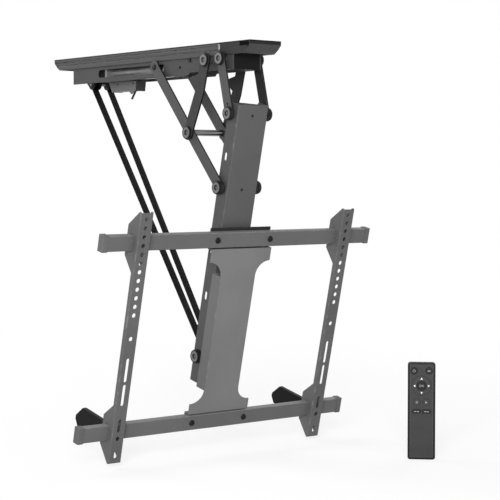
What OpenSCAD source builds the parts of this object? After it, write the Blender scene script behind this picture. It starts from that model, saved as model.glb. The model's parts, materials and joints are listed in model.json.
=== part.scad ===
// Motorized ceiling mount for a flat screen, drawn lowered, with its remote control.
// A ceiling tray carries two rails; coupled arms swing a lifting column down from them.
// Frame: +Z up, +X along the screen bars, +Y to the rear, origin at the middle of the tray's top.

/* [Tray] */
// Overall length of the tray
tray_l = 684; // [640:2:760]
// Width of the tray
tray_w = 74; // [72:1:76]
// Height of the tray
tray_h = 24; // [22:0.5:26]
// Wall of the tray
tray_t = 3; // [2.5:0.1:3.5]
// Height of the upright facet at both ends
nose_face_h = 8; // [6:0.5:10]
// Run and drop of the middle facet at both ends
nose_mid = 9; // [7:0.5:10]
// Run of the lower facet at both ends
nose_low_run = 11; // [8:0.5:14]
// Length of the cap on the front end
nose_cap_l = 94; // [80:1:110]
// Skin of the front cap
nose_cap_t = 1.5; // [1:0.1:2]
// Diameter of the ceiling bolt holes
bolt_hole_d = 9; // [7:0.5:10]
// Distance between the ceiling bolt holes across the tray
bolt_spacing_x = 30; // [26:1:32]
// Distance of the ceiling bolt holes from the tray's ends
bolt_inset = 52; // [45:1:60]
// Depth of the long steps in the tray's side
tray_step = 0.8; // [0.4:0.1:1.2]

/* [Rails] */
// Thickness of the rail plates
rail_t = 2.5; // [2:0.1:3]
// Rear end of the rails
rail_rear_y = 270; // [262:1:280]
// Front end of the rails
rail_front_y = -287; // [-295:1:-282]
// Place of the step in the rail's lower edge
rail_step_y = -150; // [-158:1:-140]
// Depth of the rails behind the step
rail_deep = 57; // [56:0.5:60]
// Depth of the rails ahead of the step
rail_shallow = 52; // [48:0.5:54]
// Width of the rails' top flange
rail_flange_w = 8; // [6:0.5:9]
// Front end of the long slot
slot_front_y = -65; // [-72:1:-58]
// Rear end of the long slot
slot_rear_y = 174; // [160:1:180]
// Height of the long slot
slot_h = 16; // [15.5:0.1:17]
// Depth of the slot's middle under the ceiling
slot_mid = 39; // [38.5:0.1:39.5]

/* [Linkage] */
// Crank arm's pivot on the rails, along the tray
crank_y = -215.5; // [-217:0.5:-214]
// Crank arm's pivot on the rails, height
crank_z = -31.5; // [-32.5:0.5:-31]
// Link arm's pivot on the rails, along the tray
link_y = -262.5; // [-265:0.5:-260]
// Link arm's pivot on the rails, height
link_z = -31; // [-32:0.5:-30.5]
// Knee between the crank arms and the main arms, along the tray
knee_y = -160.5; // [-163:0.5:-158]
// Knee between the crank arms and the main arms, height
knee_z = -169.5; // [-173:0.5:-166]
// Sliding pins at the main arms' upper ends, along the tray
slide_y = -43.5; // [-46:0.5:-41]
// Sliding pins at the main arms' upper ends, height
slide_z = -36; // [-36.5:0.1:-35.5]
// Bend in the crank arms, along the tray
elbow_y = -198; // [-202:0.5:-194]
// Bend in the crank arms, height
elbow_z = -92; // [-96:0.5:-88]
// Thickness of all the arms
arm_t = 4; // [3.5:0.1:4.2]
// Width of the main arms and the link arms
arm_w = 23; // [20:0.5:25]
// Width of the crank arms
crank_w = 26; // [23:0.5:27]
// Radius of the arms' round ends
arm_end_r = 13; // [12:0.5:14]
// Diameter of the pivot studs
stud_d = 10; // [9:0.5:11]
// Radius of the studs' shoulders
shoulder_r = 6.5; // [6:0.1:6.5]
// Diameter of the light caps on the pivots
cap_d = 25; // [22:0.5:26]
// Thickness of the light caps on the pivots
cap_t = 2.5; // [2:0.1:3]
// Diameter of the black collars behind the caps
collar_d = 27; // [26:0.5:28]
// Diameter of the cross axle at the knee
axle_d = 12.6; // [11:0.2:13.6]
// Diameter of the sliding pins
slide_pin_d = 9; // [8:0.5:9.5]
// Gap between faces that move past each other
face_gap = 0.3; // [0.2:0.05:0.4]
// Radial gap of a running fit
run_gap = 0.05; // [0.03:0.01:0.08]
// Gap between the tray's side and the main arms
side_gap = 2.2; // [2:0.1:2.6]

/* [Column] */
// Top front edge of the column, along the tray
col_y = -308; // [-309:0.5:-307]
// Top front edge of the column, height
col_z = -120; // [-121:0.5:-119]
// Lean of the column from upright, in degrees
lean = 13.2; // [12:0.1:14]
// Width of the column
col_w = 72; // [70:1:72]
// Depth of the column
col_d = 30; // [28:0.5:32]
// Wall of the column
col_t = 2.5; // [2:0.1:3]
// Length of the column
col_l = 556; // [540:2:570]
// Depth of the pivots behind the column's face
pivot_n = 15.5; // [15:0.1:16]
// Upper pivot's place down the column
upper_s = 20; // [18:0.5:22]
// Lower pivot's place down the column
lower_s = 164; // [160:0.5:168]
// Strap anchor's place down the column
anchor_s = 503; // [495:1:512]
// Diameter of the holes in the column's face
face_hole_d = 5; // [4:0.5:6]

/* [Screen bars] */
// Overall length of the bars with their end caps
bar_l = 650; // [630:2:680]
// Height of the bars
bar_h = 30; // [28:0.5:31]
// Depth of the bars
bar_d = 14; // [13:0.5:15]
// Wall of the bars
bar_t = 1.6; // [1.2:0.1:2]
// Top of the upper bar, down the column
upper_bar_s = 241; // [240:0.5:242]
// Top of the lower bar, down the column
lower_bar_s = 608; // [606:0.5:609]
// Back of the bars, ahead of the column's face
bar_back = 16; // [15.5:0.5:17]
// Length of the end caps' skirts
end_cap_l = 12; // [10:0.5:13]
// How far the end caps stand proud of the bars
end_cap_proud = 1; // [0.6:0.1:1.4]
// Distance of the bar bolts from the middle
bar_bolt_x = 64; // [60:0.5:66]
// Front of the middle plate, ahead of the column's face
spine_front = 27.5; // [27:0.5:28]
// Thickness of the middle plate and its saddles
spine_t = 2.5; // [2:0.1:2.5]
// Half width of the middle plate at its waist
spine_waist = 42; // [40:0.5:46]
// Half width of the middle plate's ears
spine_ear = 73; // [70:0.5:76]
// Height of the middle plate's upper ears
ear_h = 26; // [22:1:30]
// Height of the flares under the upper ears
flare_h = 30; // [26:1:34]

/* [Screen brackets] */
// Distance of the left bracket's middle from the bars' left ends
bracket_left_in = 80; // [74:1:90]
// Distance of the right bracket's middle from the bars' right ends
bracket_right_in = 78; // [72:1:88]
// Width of the brackets
bracket_w = 28.5; // [27:0.5:30]
// Sheet of the brackets
bracket_t = 2.5; // [2:0.1:3]
// Front of the brackets, ahead of the column's face
bracket_front = 43.5; // [42:0.5:45]
// Top of the brackets, down the column
bracket_top_s = 196.5; // [190:0.5:200]
// Bottom of the brackets, down the column
bracket_low_s = 680; // [676:1:688]
// Distance of the first screen hole from the brackets' tops
first_hole_drop = 12; // [10:1:16]
// Diameter of the screen holes
screen_hole_d = 8.5; // [8:0.1:9]
// Pitch of the screen holes
screen_pitch = 16.5; // [15.5:0.1:17]
// Thickness of the lock levers
lever_t = 9; // [7:0.5:10]
// Reach of the lock levers behind the column's face
lever_reach = 97; // [85:1:98]

/* [Drive] */
// Diameter of the motor's tube
motor_d = 33.4; // [30:0.2:33.4]
// Winch shaft's place along the tray
winch_y = 207.5; // [205:0.5:209]
// Winch shaft's height
winch_z = -58.4; // [-60:0.1:-57.6]
// Diameter of the winch shaft
winch_shaft_d = 8; // [7:0.5:8]
// Radius of the strap wound on the spools
roll_r = 6; // [5.5:0.1:7]
// Radius of the spools' flanges
flange_r = 12; // [10:0.5:13]
// Width of the straps
strap_w = 16; // [14:0.5:16]
// Thickness of the straps
strap_t = 1.6; // [1.2:0.1:1.8]
// Distance of each strap's middle from the centre at the spools
strap_top_x = 19; // [18.5:0.1:19.5]
// Distance of each strap's middle from the centre at the column
strap_low_x = 9; // [8.6:0.1:10]
// Half width of the control box
box_half_w = 12; // [11:0.5:15]
// Height of the control box
box_h = 21; // [18:0.5:22]
// Rear end of the control box
box_rear_y = 167; // [160:0.5:168]
// Joint between the control box and its dark end block
box_mid_y = 67.5; // [66:0.5:70]
// Front end of the control box's dark end block
box_front_y = 62.5; // [61:0.5:63]
// Thickness of the tab under the control box
tab_t = 3; // [2:0.5:4]
// Radius of the stub under the control box
stub_r = 2.2; // [1.8:0.1:2.5]
// Length of the stub under the control box
stub_l = 22; // [18:0.5:26]

/* [Remote control] */
// Remote control's place along the bars
remote_x = 264; // [240:1:290]
// Remote control's place along the tray
remote_y = -494; // [-520:1:-470]
// Height of the surface that the remote control stands on, under the ceiling
remote_floor = 800; // [760:1:840]
// Turn of the remote control about the upright, in degrees
remote_turn = -45; // [-60:1:-30]
// Width of the remote control
remote_w = 53; // [50:0.5:58]
// Height of the remote control
remote_h = 188; // [182:1:200]
// Thickness of the remote control
remote_d = 16; // [15:0.5:20]
// Corner radius of the remote control
remote_r = 5; // [3:0.5:7]
// Travel of the keys
key_travel = 1; // [0.6:0.1:1.2]

/* [Hidden] */
$fn = 64;

// Colours
powder = [0.38, 0.38, 0.38];
powder_light = [0.45, 0.45, 0.45];
powder_dark = [0.2, 0.2, 0.2];
black = [0.08, 0.08, 0.08];
zinc = [0.6, 0.6, 0.6];
steel = [0.75, 0.75, 0.75];

// Overrun of a cut past the face that it opens
over = 1;

// Tray
tray_half = tray_w / 2;
tray_end = tray_l / 2;
tray_in = tray_half - tray_t;
nose_low_h = tray_h - nose_face_h - nose_mid;
nose_wall = 1.5 * tray_t;
tray_front = tray_end - nose_cap_t;
step_band = tray_h / 8;

// Rails
rail_x1 = tray_in;
rail_x0 = rail_x1 - rail_t;
slot_low = -slot_mid - slot_h / 2;
slot_high = -slot_mid + slot_h / 2;
rail_screw_y = rail_step_y - 1;
small_hole_y = -118;
small_hole_z = -40.6;
small_hole_d = 5;
rail_screw_d = 5;
rail_screw_head_d = 8;
rail_screw_head_t = 2;
rail_screw_z = -(tray_h + rail_screw_head_d / 2 + face_gap);

// Planes of the arms, measured out from the middle
main_x0 = tray_half + side_gap;
main_x1 = main_x0 + arm_t;
crank_x0 = main_x1 + face_gap;
crank_x1 = crank_x0 + arm_t;
link_x0 = tray_half + side_gap + 0.7 * arm_t;
link_x1 = link_x0 + arm_t;
collar_x1 = crank_x1 + 5 * face_gap;
cap_x1 = collar_x1 + cap_t;
stud_r = stud_d / 2;
bore_r = stud_r + run_gap;
nut_t = 3.2;
nut_across_r = 0.85 * stud_d;
socket_r = 0.38 * stud_d;
socket_deep = 0.6 * cap_t;
cap_r = cap_d / 2;
collar_r = collar_d / 2;

// Column, with s measured down its face and n behind it
col_half = col_w / 2;
col_in = col_half - col_t;
knee = [knee_y, knee_z];
slide = [slide_y, slide_z];
crank = [crank_y, crank_z];
link = [link_y, link_z];
elbow = [elbow_y, elbow_z];
upper = column_point(pivot_n, upper_s);
lower = column_point(pivot_n, lower_s);
anchor = column_point(pivot_n, anchor_s);

// Crank arm's lug, as shares of the way from its pivot to the bend and of the arm's width
lug_tip_share = [0.75, 1.65];
lug_top_share = 0.5;
crank_end_r = crank_w / 2 + 1.5;

// Column cut-outs
side_slot_r = 4;
upper_slot_s = [96, 112];
lower_slot_s = [372, 389];
side_slot_n = 0.64 * col_d;
side_hole_s = 294;
face_hole_s = [upper_s + 1, lower_s + 1];

// Screen bars
bar_front = bar_back + bar_d;
bar_half = bar_l / 2;
bar_cut = bar_half - end_cap_proud - 1.5 * bar_t;
bolt_d = 6;
bolt_head_d = 12.5;
bolt_head_t = 3.2;
bolt_nut_t = 5;
spine_back = spine_front - spine_t;
ear_top_s = upper_bar_s + 1.1 * bar_h;
ear_turn_s = ear_top_s + ear_h;
waist_top_s = ear_turn_s + flare_h;
ear_low_s = lower_bar_s - bar_h / 15;
ear_back_s = ear_low_s - 0.8 * ear_h;
waist_low_s = ear_back_s - 0.84 * flare_h;
saddle_rise = bar_h / 5;
foot_half = 2 * col_half / 3;
foot_w = 0.28 * col_half;

// Screen brackets, with holes and slots as shares of their length from the top
bracket_half = bracket_w / 2;
bracket_left_x = bracket_left_in - bar_half;
bracket_right_x = bar_half - bracket_right_in;
bracket_l = bracket_low_s - bracket_top_s;
single_hole_shares = [0.494, 0.898];
screen_slot_shares = [[0.572, 0.668], [0.678, 0.764], [0.818, 0.872], [0.95, 0.979]];
notch_gap = 0.35;
wing_back = bar_h / 4 - bar_back;
waist_back = -0.815 * bracket_front;
chamfer_out = 2 * bracket_t - bracket_front;
wing_reach = wing_back - chamfer_out;
lever_pin_r = 3;
lever_hub_r = 2 * lever_pin_r;
lever_pivot = [-0.53 * bracket_front, lower_bar_s + bar_h + 1.3 * lever_hub_r];
first_hole_s = bracket_top_s + first_hole_drop;
hole_count = 12;
slot_r = 0.4 * screen_hole_d;

// Drive
slider_head_t = 2.7;
slider_head_r = 10;
motor_z = -slot_mid + 1;
motor_rear_y = 147;
motor_front_y = slot_front_y + 5;
gearbox_rear_y = 196;
bearing_t = 3.2;
motor_r = motor_d / 2;
shaft_r = winch_shaft_d / 2;
spool_in = strap_top_x - strap_w / 2 - 0.3;
spool_out = strap_top_x + strap_w / 2 + 0.3;
flange_t = 0.9;
pin_sleeve_r = roll_r;
lie = [winch_y - anchor[0], winch_z - anchor[1]];
lie_l = norm(lie);
lie_angle = atan2(lie[1], lie[0]);

// Remote control
front_d = 0.3 * remote_d;
back_d = remote_d - front_d;
shell_t = 1.6;
key_gap = 0.35;

// A point of the column's frame, as the tray's y and z
function column_point(n, s) = [
    col_y + s * sin(lean) + n * cos(lean),
    col_z - s * cos(lean) + n * sin(lean)
];

// Outline in y and z drawn out along x
module side_plate(x0, x1) {
    translate([x0, 0, 0])
        rotate([90, 0, 90])
            linear_extrude(x1 - x0)
                children();
}

// The same plate on the other side
module other_side() {
    mirror([1, 0, 0])
        children();
}

module both_sides() {
    children();
    other_side()
        children();
}

// Round bar along x at a place in y and z
module rod(r, x0, x1, p) {
    translate([x0, p[0], p[1]])
        rotate([0, 90, 0])
            cylinder(r = r, h = x1 - x0);
}

// Ring along x
module ring(r, r_in, x0, x1, p) {
    difference() {
        rod(r, x0, x1, p);
        rod(r_in, x0 - over, x1 + over, p);
    }
}

// Six-sided bar along x
module hex(r, x0, x1, p) {
    translate([x0, p[0], p[1]])
        rotate([0, 90, 0])
            cylinder(r = r, h = x1 - x0, $fn = 6);
}

// Direction a quarter turn to the left of another, one unit long
function left_of(way) = [-way[1], way[0]] / norm(way);

// Flat strip between two points
module strip(p, q, w) {
    way = q - p;
    translate(p)
        rotate(atan2(way[1], way[0]))
            translate([0, -w / 2])
                square([norm(way), w]);
}

module disc(p, r) {
    translate(p)
        circle(r = r);
}

// Light pivot cap with its hexagon socket
module cap(p) {
    difference() {
        rod(cap_r, collar_x1, cap_x1, p);
        hex(socket_r, cap_x1 - socket_deep, cap_x1 + over, p);
    }
}

// Places things in the column's frame, where z runs up the column and y behind it
module in_column() {
    translate([0, col_y, col_z])
        rotate([lean, 0, 0])
            children();
}

// Box in the column's frame, from n0 to n1 behind the face and s0 to s1 down it
module column_box(x0, x1, n0, n1, s0, s1) {
    translate([x0, n0, -s1])
        cube([x1 - x0, n1 - n0, s1 - s0]);
}

// Hole through the column's frame along n
module face_hole(x, s, r, n0, n1) {
    translate([x, n0, -s])
        rotate([-90, 0, 0])
            cylinder(r = r, h = n1 - n0);
}

// Long hole through the column's frame along n, from s0 to s1
module face_slot(x, s0, s1, r, n0, n1) {
    face_hole(x, s0 + r, r, n0, n1);
    face_hole(x, s1 - r, r, n0, n1);
    column_box(x - r, x + r, n0, n1, s0 + r, s1 - r);
}

// Side outline of the tray, drawn in by a length at both ends and down from a height
module tray_outline(front, rear, top) {
    polygon([
        [-front, -top],
        [-front, -nose_face_h],
        [-front + nose_mid, -nose_face_h - nose_mid],
        [-front + nose_mid + nose_low_run, -tray_h],
        [rear - nose_mid - nose_low_run, -tray_h],
        [rear - nose_mid, -nose_face_h - nose_mid],
        [rear, -nose_face_h],
        [rear, -top]
    ]);
}

module tray_hollow() {
    side_plate(-tray_in, tray_in)
        tray_outline(tray_front - nose_wall, tray_end - nose_wall, tray_t);
    translate([-tray_in, nose_mid + nose_low_run + nose_wall - tray_front, -tray_h - over])
        cube([
            2 * tray_in,
            tray_front + tray_end - 2 * (nose_mid + nose_low_run + nose_wall),
            2 * over
        ]);
}

module ceiling_tray() {
    color(powder)
    difference() {
        side_plate(-tray_half, tray_half)
            tray_outline(tray_front, tray_end, 0);
        tray_hollow();
        for (x = [-1, 1], y = [-1, 1])
            translate([x * bolt_spacing_x / 2, y * (tray_end - bolt_inset), -tray_t - over])
                cylinder(d = bolt_hole_d, h = tray_t + 2 * over);
        both_sides()
            for (z = [2.6, 5.2])
                translate([tray_half - tray_step, nose_cap_l - tray_end, -z * step_band])
                    cube([tray_step + over, tray_l - nose_cap_l + over, step_band / 2]);
    }
}

module nose_cap() {
    color(powder)
    difference() {
        side_plate(-tray_half - nose_cap_t, tray_half + nose_cap_t)
            intersection() {
                tray_outline(tray_end, tray_end, 0);
                translate([-tray_end, -tray_h])
                    square([nose_cap_l, tray_h]);
            }
        side_plate(-tray_half, tray_half) {
            tray_outline(tray_front, tray_end, -over);
            translate([nose_mid + nose_low_run - tray_front, -tray_h - over])
                square([tray_l - nose_mid - nose_low_run, 2 * over]);
        }
        side_plate(-tray_half - nose_cap_t - over, -tray_half)
            window_outline();
    }
}

// Infrared window in the front cap's left side
module window_outline() {
    translate([nose_mid / 3 - tray_end, -nose_mid - over])
        square([3 * nose_mid, nose_face_h]);
}

module receiver_window() {
    color(black)
    side_plate(-tray_half - nose_cap_t, -tray_half)
        window_outline();
}

module rail() {
    difference() {
        union() {
            side_plate(rail_x0, rail_x1)
                polygon([
                    [rail_front_y, -tray_t],
                    [rail_front_y, -rail_shallow],
                    [rail_step_y, -rail_shallow],
                    [rail_step_y + rail_deep - rail_shallow, -rail_deep],
                    [rail_rear_y, -rail_deep],
                    [rail_rear_y, -tray_t]
                ]);
            translate([rail_x1 - rail_flange_w, rail_front_y, -tray_t - rail_t])
                cube([rail_flange_w, rail_rear_y - rail_front_y, rail_t]);
        }
        side_plate(rail_x0 - over, rail_x1 + over) {
            translate([slot_front_y + slot_h / 2, slot_low])
                square([slot_rear_y - slot_front_y - slot_h, slot_h]);
            disc([slot_front_y + slot_h / 2, -slot_mid], slot_h / 2);
            disc([slot_rear_y - slot_h / 2, -slot_mid], slot_h / 2);
        }
        rod(bore_r, rail_x0 - over, rail_x1 + over, crank);
        rod(bore_r, rail_x0 - over, rail_x1 + over, link);
        rod(small_hole_d / 2, rail_x0 - over, rail_x1 + over, [small_hole_y, small_hole_z]);
        rod(rail_screw_d / 2, rail_x0 - over, rail_x1 + over, [rail_screw_y, rail_screw_z]);
    }
}

module rail_right() {
    color(powder)
        rail();
}

module rail_left() {
    color(powder)
    other_side()
        rail();
}

// Folded plate that ties the rails' front ends together
module front_plate() {
    color(powder_dark)
    translate([-rail_x0, rail_front_y, -rail_shallow]) {
        cube([2 * rail_x0, rail_t, rail_shallow - tray_t - rail_t]);
        cube([2 * rail_x0, 4 * rail_flange_w, rail_t]);
    }
}

module rail_screws() {
    color(steel)
    both_sides() {
        rod(
            rail_screw_head_d / 2, rail_x1, rail_x1 + rail_screw_head_t,
            [rail_screw_y, rail_screw_z]
        );
        rod(
            rail_screw_d / 2, rail_x0 - 2 * rail_screw_head_t, rail_x1,
            [rail_screw_y, rail_screw_z]
        );
        hex(
            rail_screw_head_d / 2, rail_x0 - 2 * rail_screw_head_t, rail_x0,
            [rail_screw_y, rail_screw_z]
        );
    }
}

// Tube of the motor with its front flange, which screws to the rails
module gearmotor() {
    color(zinc)
    union() {
        rod_y(motor_r, motor_front_y, motor_rear_y, motor_z);
        translate([-rail_x0, motor_front_y - rail_t, motor_z - motor_r])
            cube([2 * rail_x0, rail_t, 2 * motor_r]);
    }
}

// Round bar along y under the middle of the tray
module rod_y(r, y0, y1, z) {
    translate([0, y0, z])
        rotate([-90, 0, 0])
            cylinder(r = r, h = y1 - y0);
}

module gearbox() {
    case_half = 22;
    lug_x0 = spool_in - 4;
    color(powder_dark)
    difference() {
        union() {
            translate([-rail_x0, motor_rear_y, motor_z - motor_r])
                cube([2 * rail_x0, rail_t, 2 * motor_r]);
            translate([-case_half, motor_rear_y, motor_z - motor_r + 2 * rail_t])
                cube([2 * case_half, gearbox_rear_y - motor_rear_y, 2 * motor_r - 2 * rail_t]);
            side_plate(lug_x0, spool_in - face_gap - flange_t)
                polygon([
                    [gearbox_rear_y, motor_z + motor_r],
                    [winch_y + 2 * shaft_r, motor_z + motor_r],
                    [winch_y + 2 * shaft_r, winch_z],
                    [winch_y + shaft_r, winch_z - 1.6 * shaft_r],
                    [winch_y - shaft_r, winch_z - 1.6 * shaft_r],
                    [winch_y - 2 * shaft_r, winch_z],
                    [gearbox_rear_y - bearing_t, motor_z - motor_r + 2 * rail_t]
                ]);
        }
        rod(shaft_r + run_gap, lug_x0 - over, spool_in + over, [winch_y, winch_z]);
    }
}

module winch_bearings() {
    color(powder_dark)
    both_sides()
        difference() {
            side_plate(rail_x0 - bearing_t, rail_x0)
                polygon([
                    [winch_y - 3 * shaft_r, -tray_h],
                    [winch_y + 3 * shaft_r, -tray_h],
                    [winch_y + 3 * shaft_r, winch_z],
                    [winch_y + shaft_r, winch_z - 1.7 * shaft_r],
                    [winch_y - shaft_r, winch_z - 1.7 * shaft_r],
                    [winch_y - 3 * shaft_r, winch_z]
                ]);
            rod(shaft_r + run_gap, rail_x0 - bearing_t - over, rail_x0 + over, [winch_y, winch_z]);
        }
}

module winch_shaft() {
    color(steel)
        rod(shaft_r, face_gap - rail_x0, rail_x0 - face_gap, [winch_y, winch_z]);
}

// Two spools with the rest of the strap wound on them
module spools() {
    color(black)
    both_sides()
        difference() {
            union() {
                rod(flange_r, spool_in - flange_t, spool_in, [winch_y, winch_z]);
                rod(roll_r - run_gap, spool_in, spool_out, [winch_y, winch_z]);
                rod(flange_r, spool_out, spool_out + flange_t / 2, [winch_y, winch_z]);
            }
            rod(shaft_r, 0, rail_x0, [winch_y, winch_z]);
        }
}

// Plate under the motor that carries the control box
module control_bracket() {
    color(powder)
    translate([-rail_x0, box_front_y + box_half_w, -rail_deep])
        cube([
            2 * rail_x0,
            box_rear_y - box_front_y - 2 * box_half_w,
            rail_deep + motor_z - motor_r
        ]);
}

// Side outline of the control box with its slanted rear end
module box_outline() {
    polygon([
        [box_mid_y, -rail_deep],
        [box_mid_y, -rail_deep - 0.95 * box_h],
        [box_rear_y - box_h, -rail_deep - 0.95 * box_h],
        [box_rear_y - 0.8 * box_h, -rail_deep - box_h],
        [box_rear_y - 0.6 * box_h, -rail_deep - box_h],
        [box_rear_y, -rail_deep]
    ]);
}

// Side outline of the tab under the control box's left side
module tab_outline() {
    tab_y = box_mid_y + 0.75 * box_h;
    polygon([
        [box_mid_y + 0.1 * box_h, -rail_deep - 0.9 * box_h],
        [tab_y, -rail_deep - 1.32 * box_h],
        [tab_y + 0.5 * box_h, -rail_deep - 0.9 * box_h]
    ]);
}

module control_box() {
    color(zinc)
    difference() {
        union() {
            side_plate(-box_half_w, box_half_w)
                box_outline();
            side_plate(-box_half_w, tab_t - box_half_w)
                tab_outline();
        }
        rod_y(
            inlet_r, box_rear_y - box_h, box_rear_y + over,
            -rail_deep - box_h / 2
        );
    }
}

module end_block() {
    color(powder_dark)
    side_plate(-box_half_w, box_half_w)
        polygon([
            [box_front_y, -rail_deep],
            [box_front_y + box_h / 6, -rail_deep - box_h],
            [box_mid_y, -rail_deep - box_h],
            [box_mid_y, -rail_deep]
        ]);
}

// Stub that hangs at a slant from the control box's underside, beside the tab
module receiver_stub() {
    root_z = -rail_deep - 0.95 * box_h;
    color(black)
    intersection() {
        translate([tab_t + 1.2 * stub_r - box_half_w, box_mid_y + 3 * stub_r, root_z])
            rotate([-140, 0, 0])
                translate([0, 0, -2 * stub_r])
                    cylinder(r = stub_r, h = stub_l + 2 * stub_r);
        translate([-box_half_w, box_mid_y - stub_l, root_z - 2 * stub_l])
            cube([2 * box_half_w, 3 * stub_l, 2 * stub_l]);
    }
}

// Round low-voltage inlet in the control box's rear end, left empty
inlet_r = 4.5;
inlet_bore_r = 2.8;
module power_inlet() {
    inlet_y0 = box_rear_y - box_h;
    inlet_y1 = box_rear_y - box_h / 4;
    inlet_z = -rail_deep - box_h / 2;
    color(black)
    difference() {
        rod_y(inlet_r, inlet_y0, inlet_y1, inlet_z);
        rod_y(inlet_bore_r, inlet_y0 + inlet_r / 2, inlet_y1 + over, inlet_z);
    }
}

// Shouldered screw through a rail, with its nut inside, for an arm at x0
module rail_screw_pivot(p, x0) {
    hex(nut_across_r, rail_x0 - nut_t, rail_x0, p);
    rod(stud_r, rail_x0 - nut_t, collar_x1, p);
    rod(shoulder_r, rail_x1, x0 - face_gap, p);
    cap(p);
}

module upper_pivots() {
    color(zinc)
    both_sides() {
        rail_screw_pivot(crank, crank_x0);
        rail_screw_pivot(link, link_x0);
    }
}

module upper_collars() {
    color(black)
    both_sides() {
        ring(collar_r, bore_r, crank_x1 + face_gap, collar_x1, crank);
        ring(collar_r, bore_r, link_x1 + face_gap, collar_x1, link);
    }
}

// Strap from the spool to the pin in the column, with its sewn loop round the pin
module strap() {
    splay = strap_top_x - strap_low_x;
    band_l = norm([lie_l, splay]);
    band_r = pin_sleeve_r + run_gap + strap_t / 2;
    ring(
        pin_sleeve_r + run_gap + strap_t, pin_sleeve_r + run_gap,
        strap_low_x - strap_w / 2, strap_low_x + strap_w / 2, anchor
    );
    difference() {
        translate([strap_low_x, anchor[0], anchor[1]])
            rotate([lie_angle, 0, 0])
                rotate([0, 0, -atan2(splay, lie_l)])
                    translate([-strap_w / 2, 0, -band_r - strap_t / 2])
                        cube([strap_w, band_l, strap_t]);
        rod(pin_sleeve_r + run_gap, -col_half, col_half, anchor);
    }
}

module strap_right() {
    color(black)
        strap();
}

module strap_left() {
    color(black)
    other_side()
        strap();
}

// Crank arm with its bend and the lug behind it
module crank_arm() {
    half = crank_w / 2;
    way = elbow - crank;
    side = left_of(way);
    low_side = left_of(knee - elbow);
    mitre = (side + low_side) / (1 + side * low_side);
    difference() {
        side_plate(crank_x0, crank_x1) {
            polygon([
                crank - half * side,
                elbow - half * mitre,
                knee - half * low_side,
                knee + half * low_side,
                elbow + half * mitre,
                crank + lug_tip_share[0] * way + lug_tip_share[1] * crank_w * side,
                crank + lug_top_share * way + half * side,
                crank + half * side
            ]);
            disc(crank, crank_end_r);
            disc(knee, crank_end_r);
        }
        rod(bore_r, crank_x0 - over, crank_x1 + over, crank);
        rod(bore_r, crank_x0 - over, crank_x1 + over, knee);
    }
}

module crank_arm_right() {
    color(powder)
        crank_arm();
}

module crank_arm_left() {
    color(powder)
    other_side()
        crank_arm();
}

module main_arm() {
    difference() {
        side_plate(main_x0, main_x1) {
            strip(slide, knee, arm_w);
            strip(knee, lower, arm_w);
            disc(slide, arm_end_r);
            disc(knee, collar_r);
            disc(lower, arm_end_r);
        }
        rod(slide_pin_d / 2 + run_gap, main_x0 - over, main_x1 + over, slide);
        rod(bore_r, main_x0 - over, main_x1 + over, knee);
        rod(bore_r, main_x0 - over, main_x1 + over, lower);
    }
}

module main_arm_right() {
    color(powder_light)
        main_arm();
}

module main_arm_left() {
    color(powder_light)
    other_side()
        main_arm();
}

// Bright axle between the main arms, stepped down to run through both arms
module cross_axle() {
    color(steel) {
        rod(axle_d / 2, -main_x0, main_x0, knee);
        rod(stud_r, -collar_x1, collar_x1, knee);
    }
}

module axle_screws() {
    color(zinc)
    both_sides()
        cap(knee);
}

module middle_collars() {
    color(black)
    both_sides()
        ring(collar_r, bore_r, crank_x1 + face_gap, collar_x1, knee);
}

// Pins that run in the rails' long slots, flanged inside and clipped outside
module slide_pins() {
    pin_r = slide_pin_d / 2;
    clip_t = 1;
    color(steel)
    both_sides() {
        rod(slider_head_r, rail_x0 - face_gap - slider_head_t, rail_x0 - face_gap, slide);
        rod(pin_r, rail_x0 - face_gap - slider_head_t, main_x1 + 2 * clip_t, slide);
        rod(pin_r + 1.5 * clip_t, rail_x1 + face_gap, main_x0, slide);
        rod(pin_r + 2 * clip_t, main_x1, main_x1 + clip_t, slide);
    }
}

module link_arm() {
    hole_r = 2;
    way = link - upper;
    hole = upper + 18 / norm(way) * way;
    difference() {
        side_plate(link_x0, link_x1) {
            strip(link, upper, arm_w);
            disc(link, arm_end_r);
            disc(upper, arm_end_r);
        }
        rod(bore_r, link_x0 - over, link_x1 + over, link);
        rod(bore_r, link_x0 - over, link_x1 + over, upper);
        rod(hole_r, link_x0 - over, link_x1 + over, hole);
    }
}

module link_arm_right() {
    color(powder)
        link_arm();
}

module link_arm_left() {
    color(powder)
    other_side()
        link_arm();
}

// Screw heads at the links' lower ends, flush with the arms' inner faces
module link_screws() {
    color(zinc)
    both_sides() {
        rod(stud_r, link_x0, collar_x1, upper);
        cap(upper);
    }
}

module link_collars() {
    color(black)
    both_sides()
        ring(collar_r, bore_r, link_x1, collar_x1, upper);
}

// Channel that is open behind, with its slots and holes
module column() {
    color(powder)
    in_column()
        difference() {
            column_box(-col_half, col_half, 0, col_d, 0, col_l);
            column_box(-col_in, col_in, col_t, col_d + over, -over, col_l + over);
            for (s = face_hole_s)
                face_hole(0, s, face_hole_d / 2, -over, col_t + over);
            for (s = [upper_slot_s, lower_slot_s])
                column_side_slot(s[0], s[1]);
            column_side_hole(side_hole_s, face_hole_d / 2, 0.77 * col_d);
            column_side_hole(lower_s, bore_r, pivot_n);
            column_side_hole(upper_s, bore_r, pivot_n);
            column_side_hole(anchor_s, pin_end_r + run_gap, pivot_n);
        }
}

// Hole through both side walls of the column
module column_side_hole(s, r, n) {
    translate([-col_half - over, n, -s])
        rotate([0, 90, 0])
            cylinder(r = r, h = col_w + 2 * over);
}

module column_side_slot(s0, s1) {
    column_side_hole(s0 + side_slot_r, side_slot_r, side_slot_n);
    column_side_hole(s1 - side_slot_r, side_slot_r, side_slot_n);
    column_box(
        -col_half - over, col_half + over,
        side_slot_n - side_slot_r, side_slot_n + side_slot_r,
        s0 + side_slot_r, s1 - side_slot_r
    );
}

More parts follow.
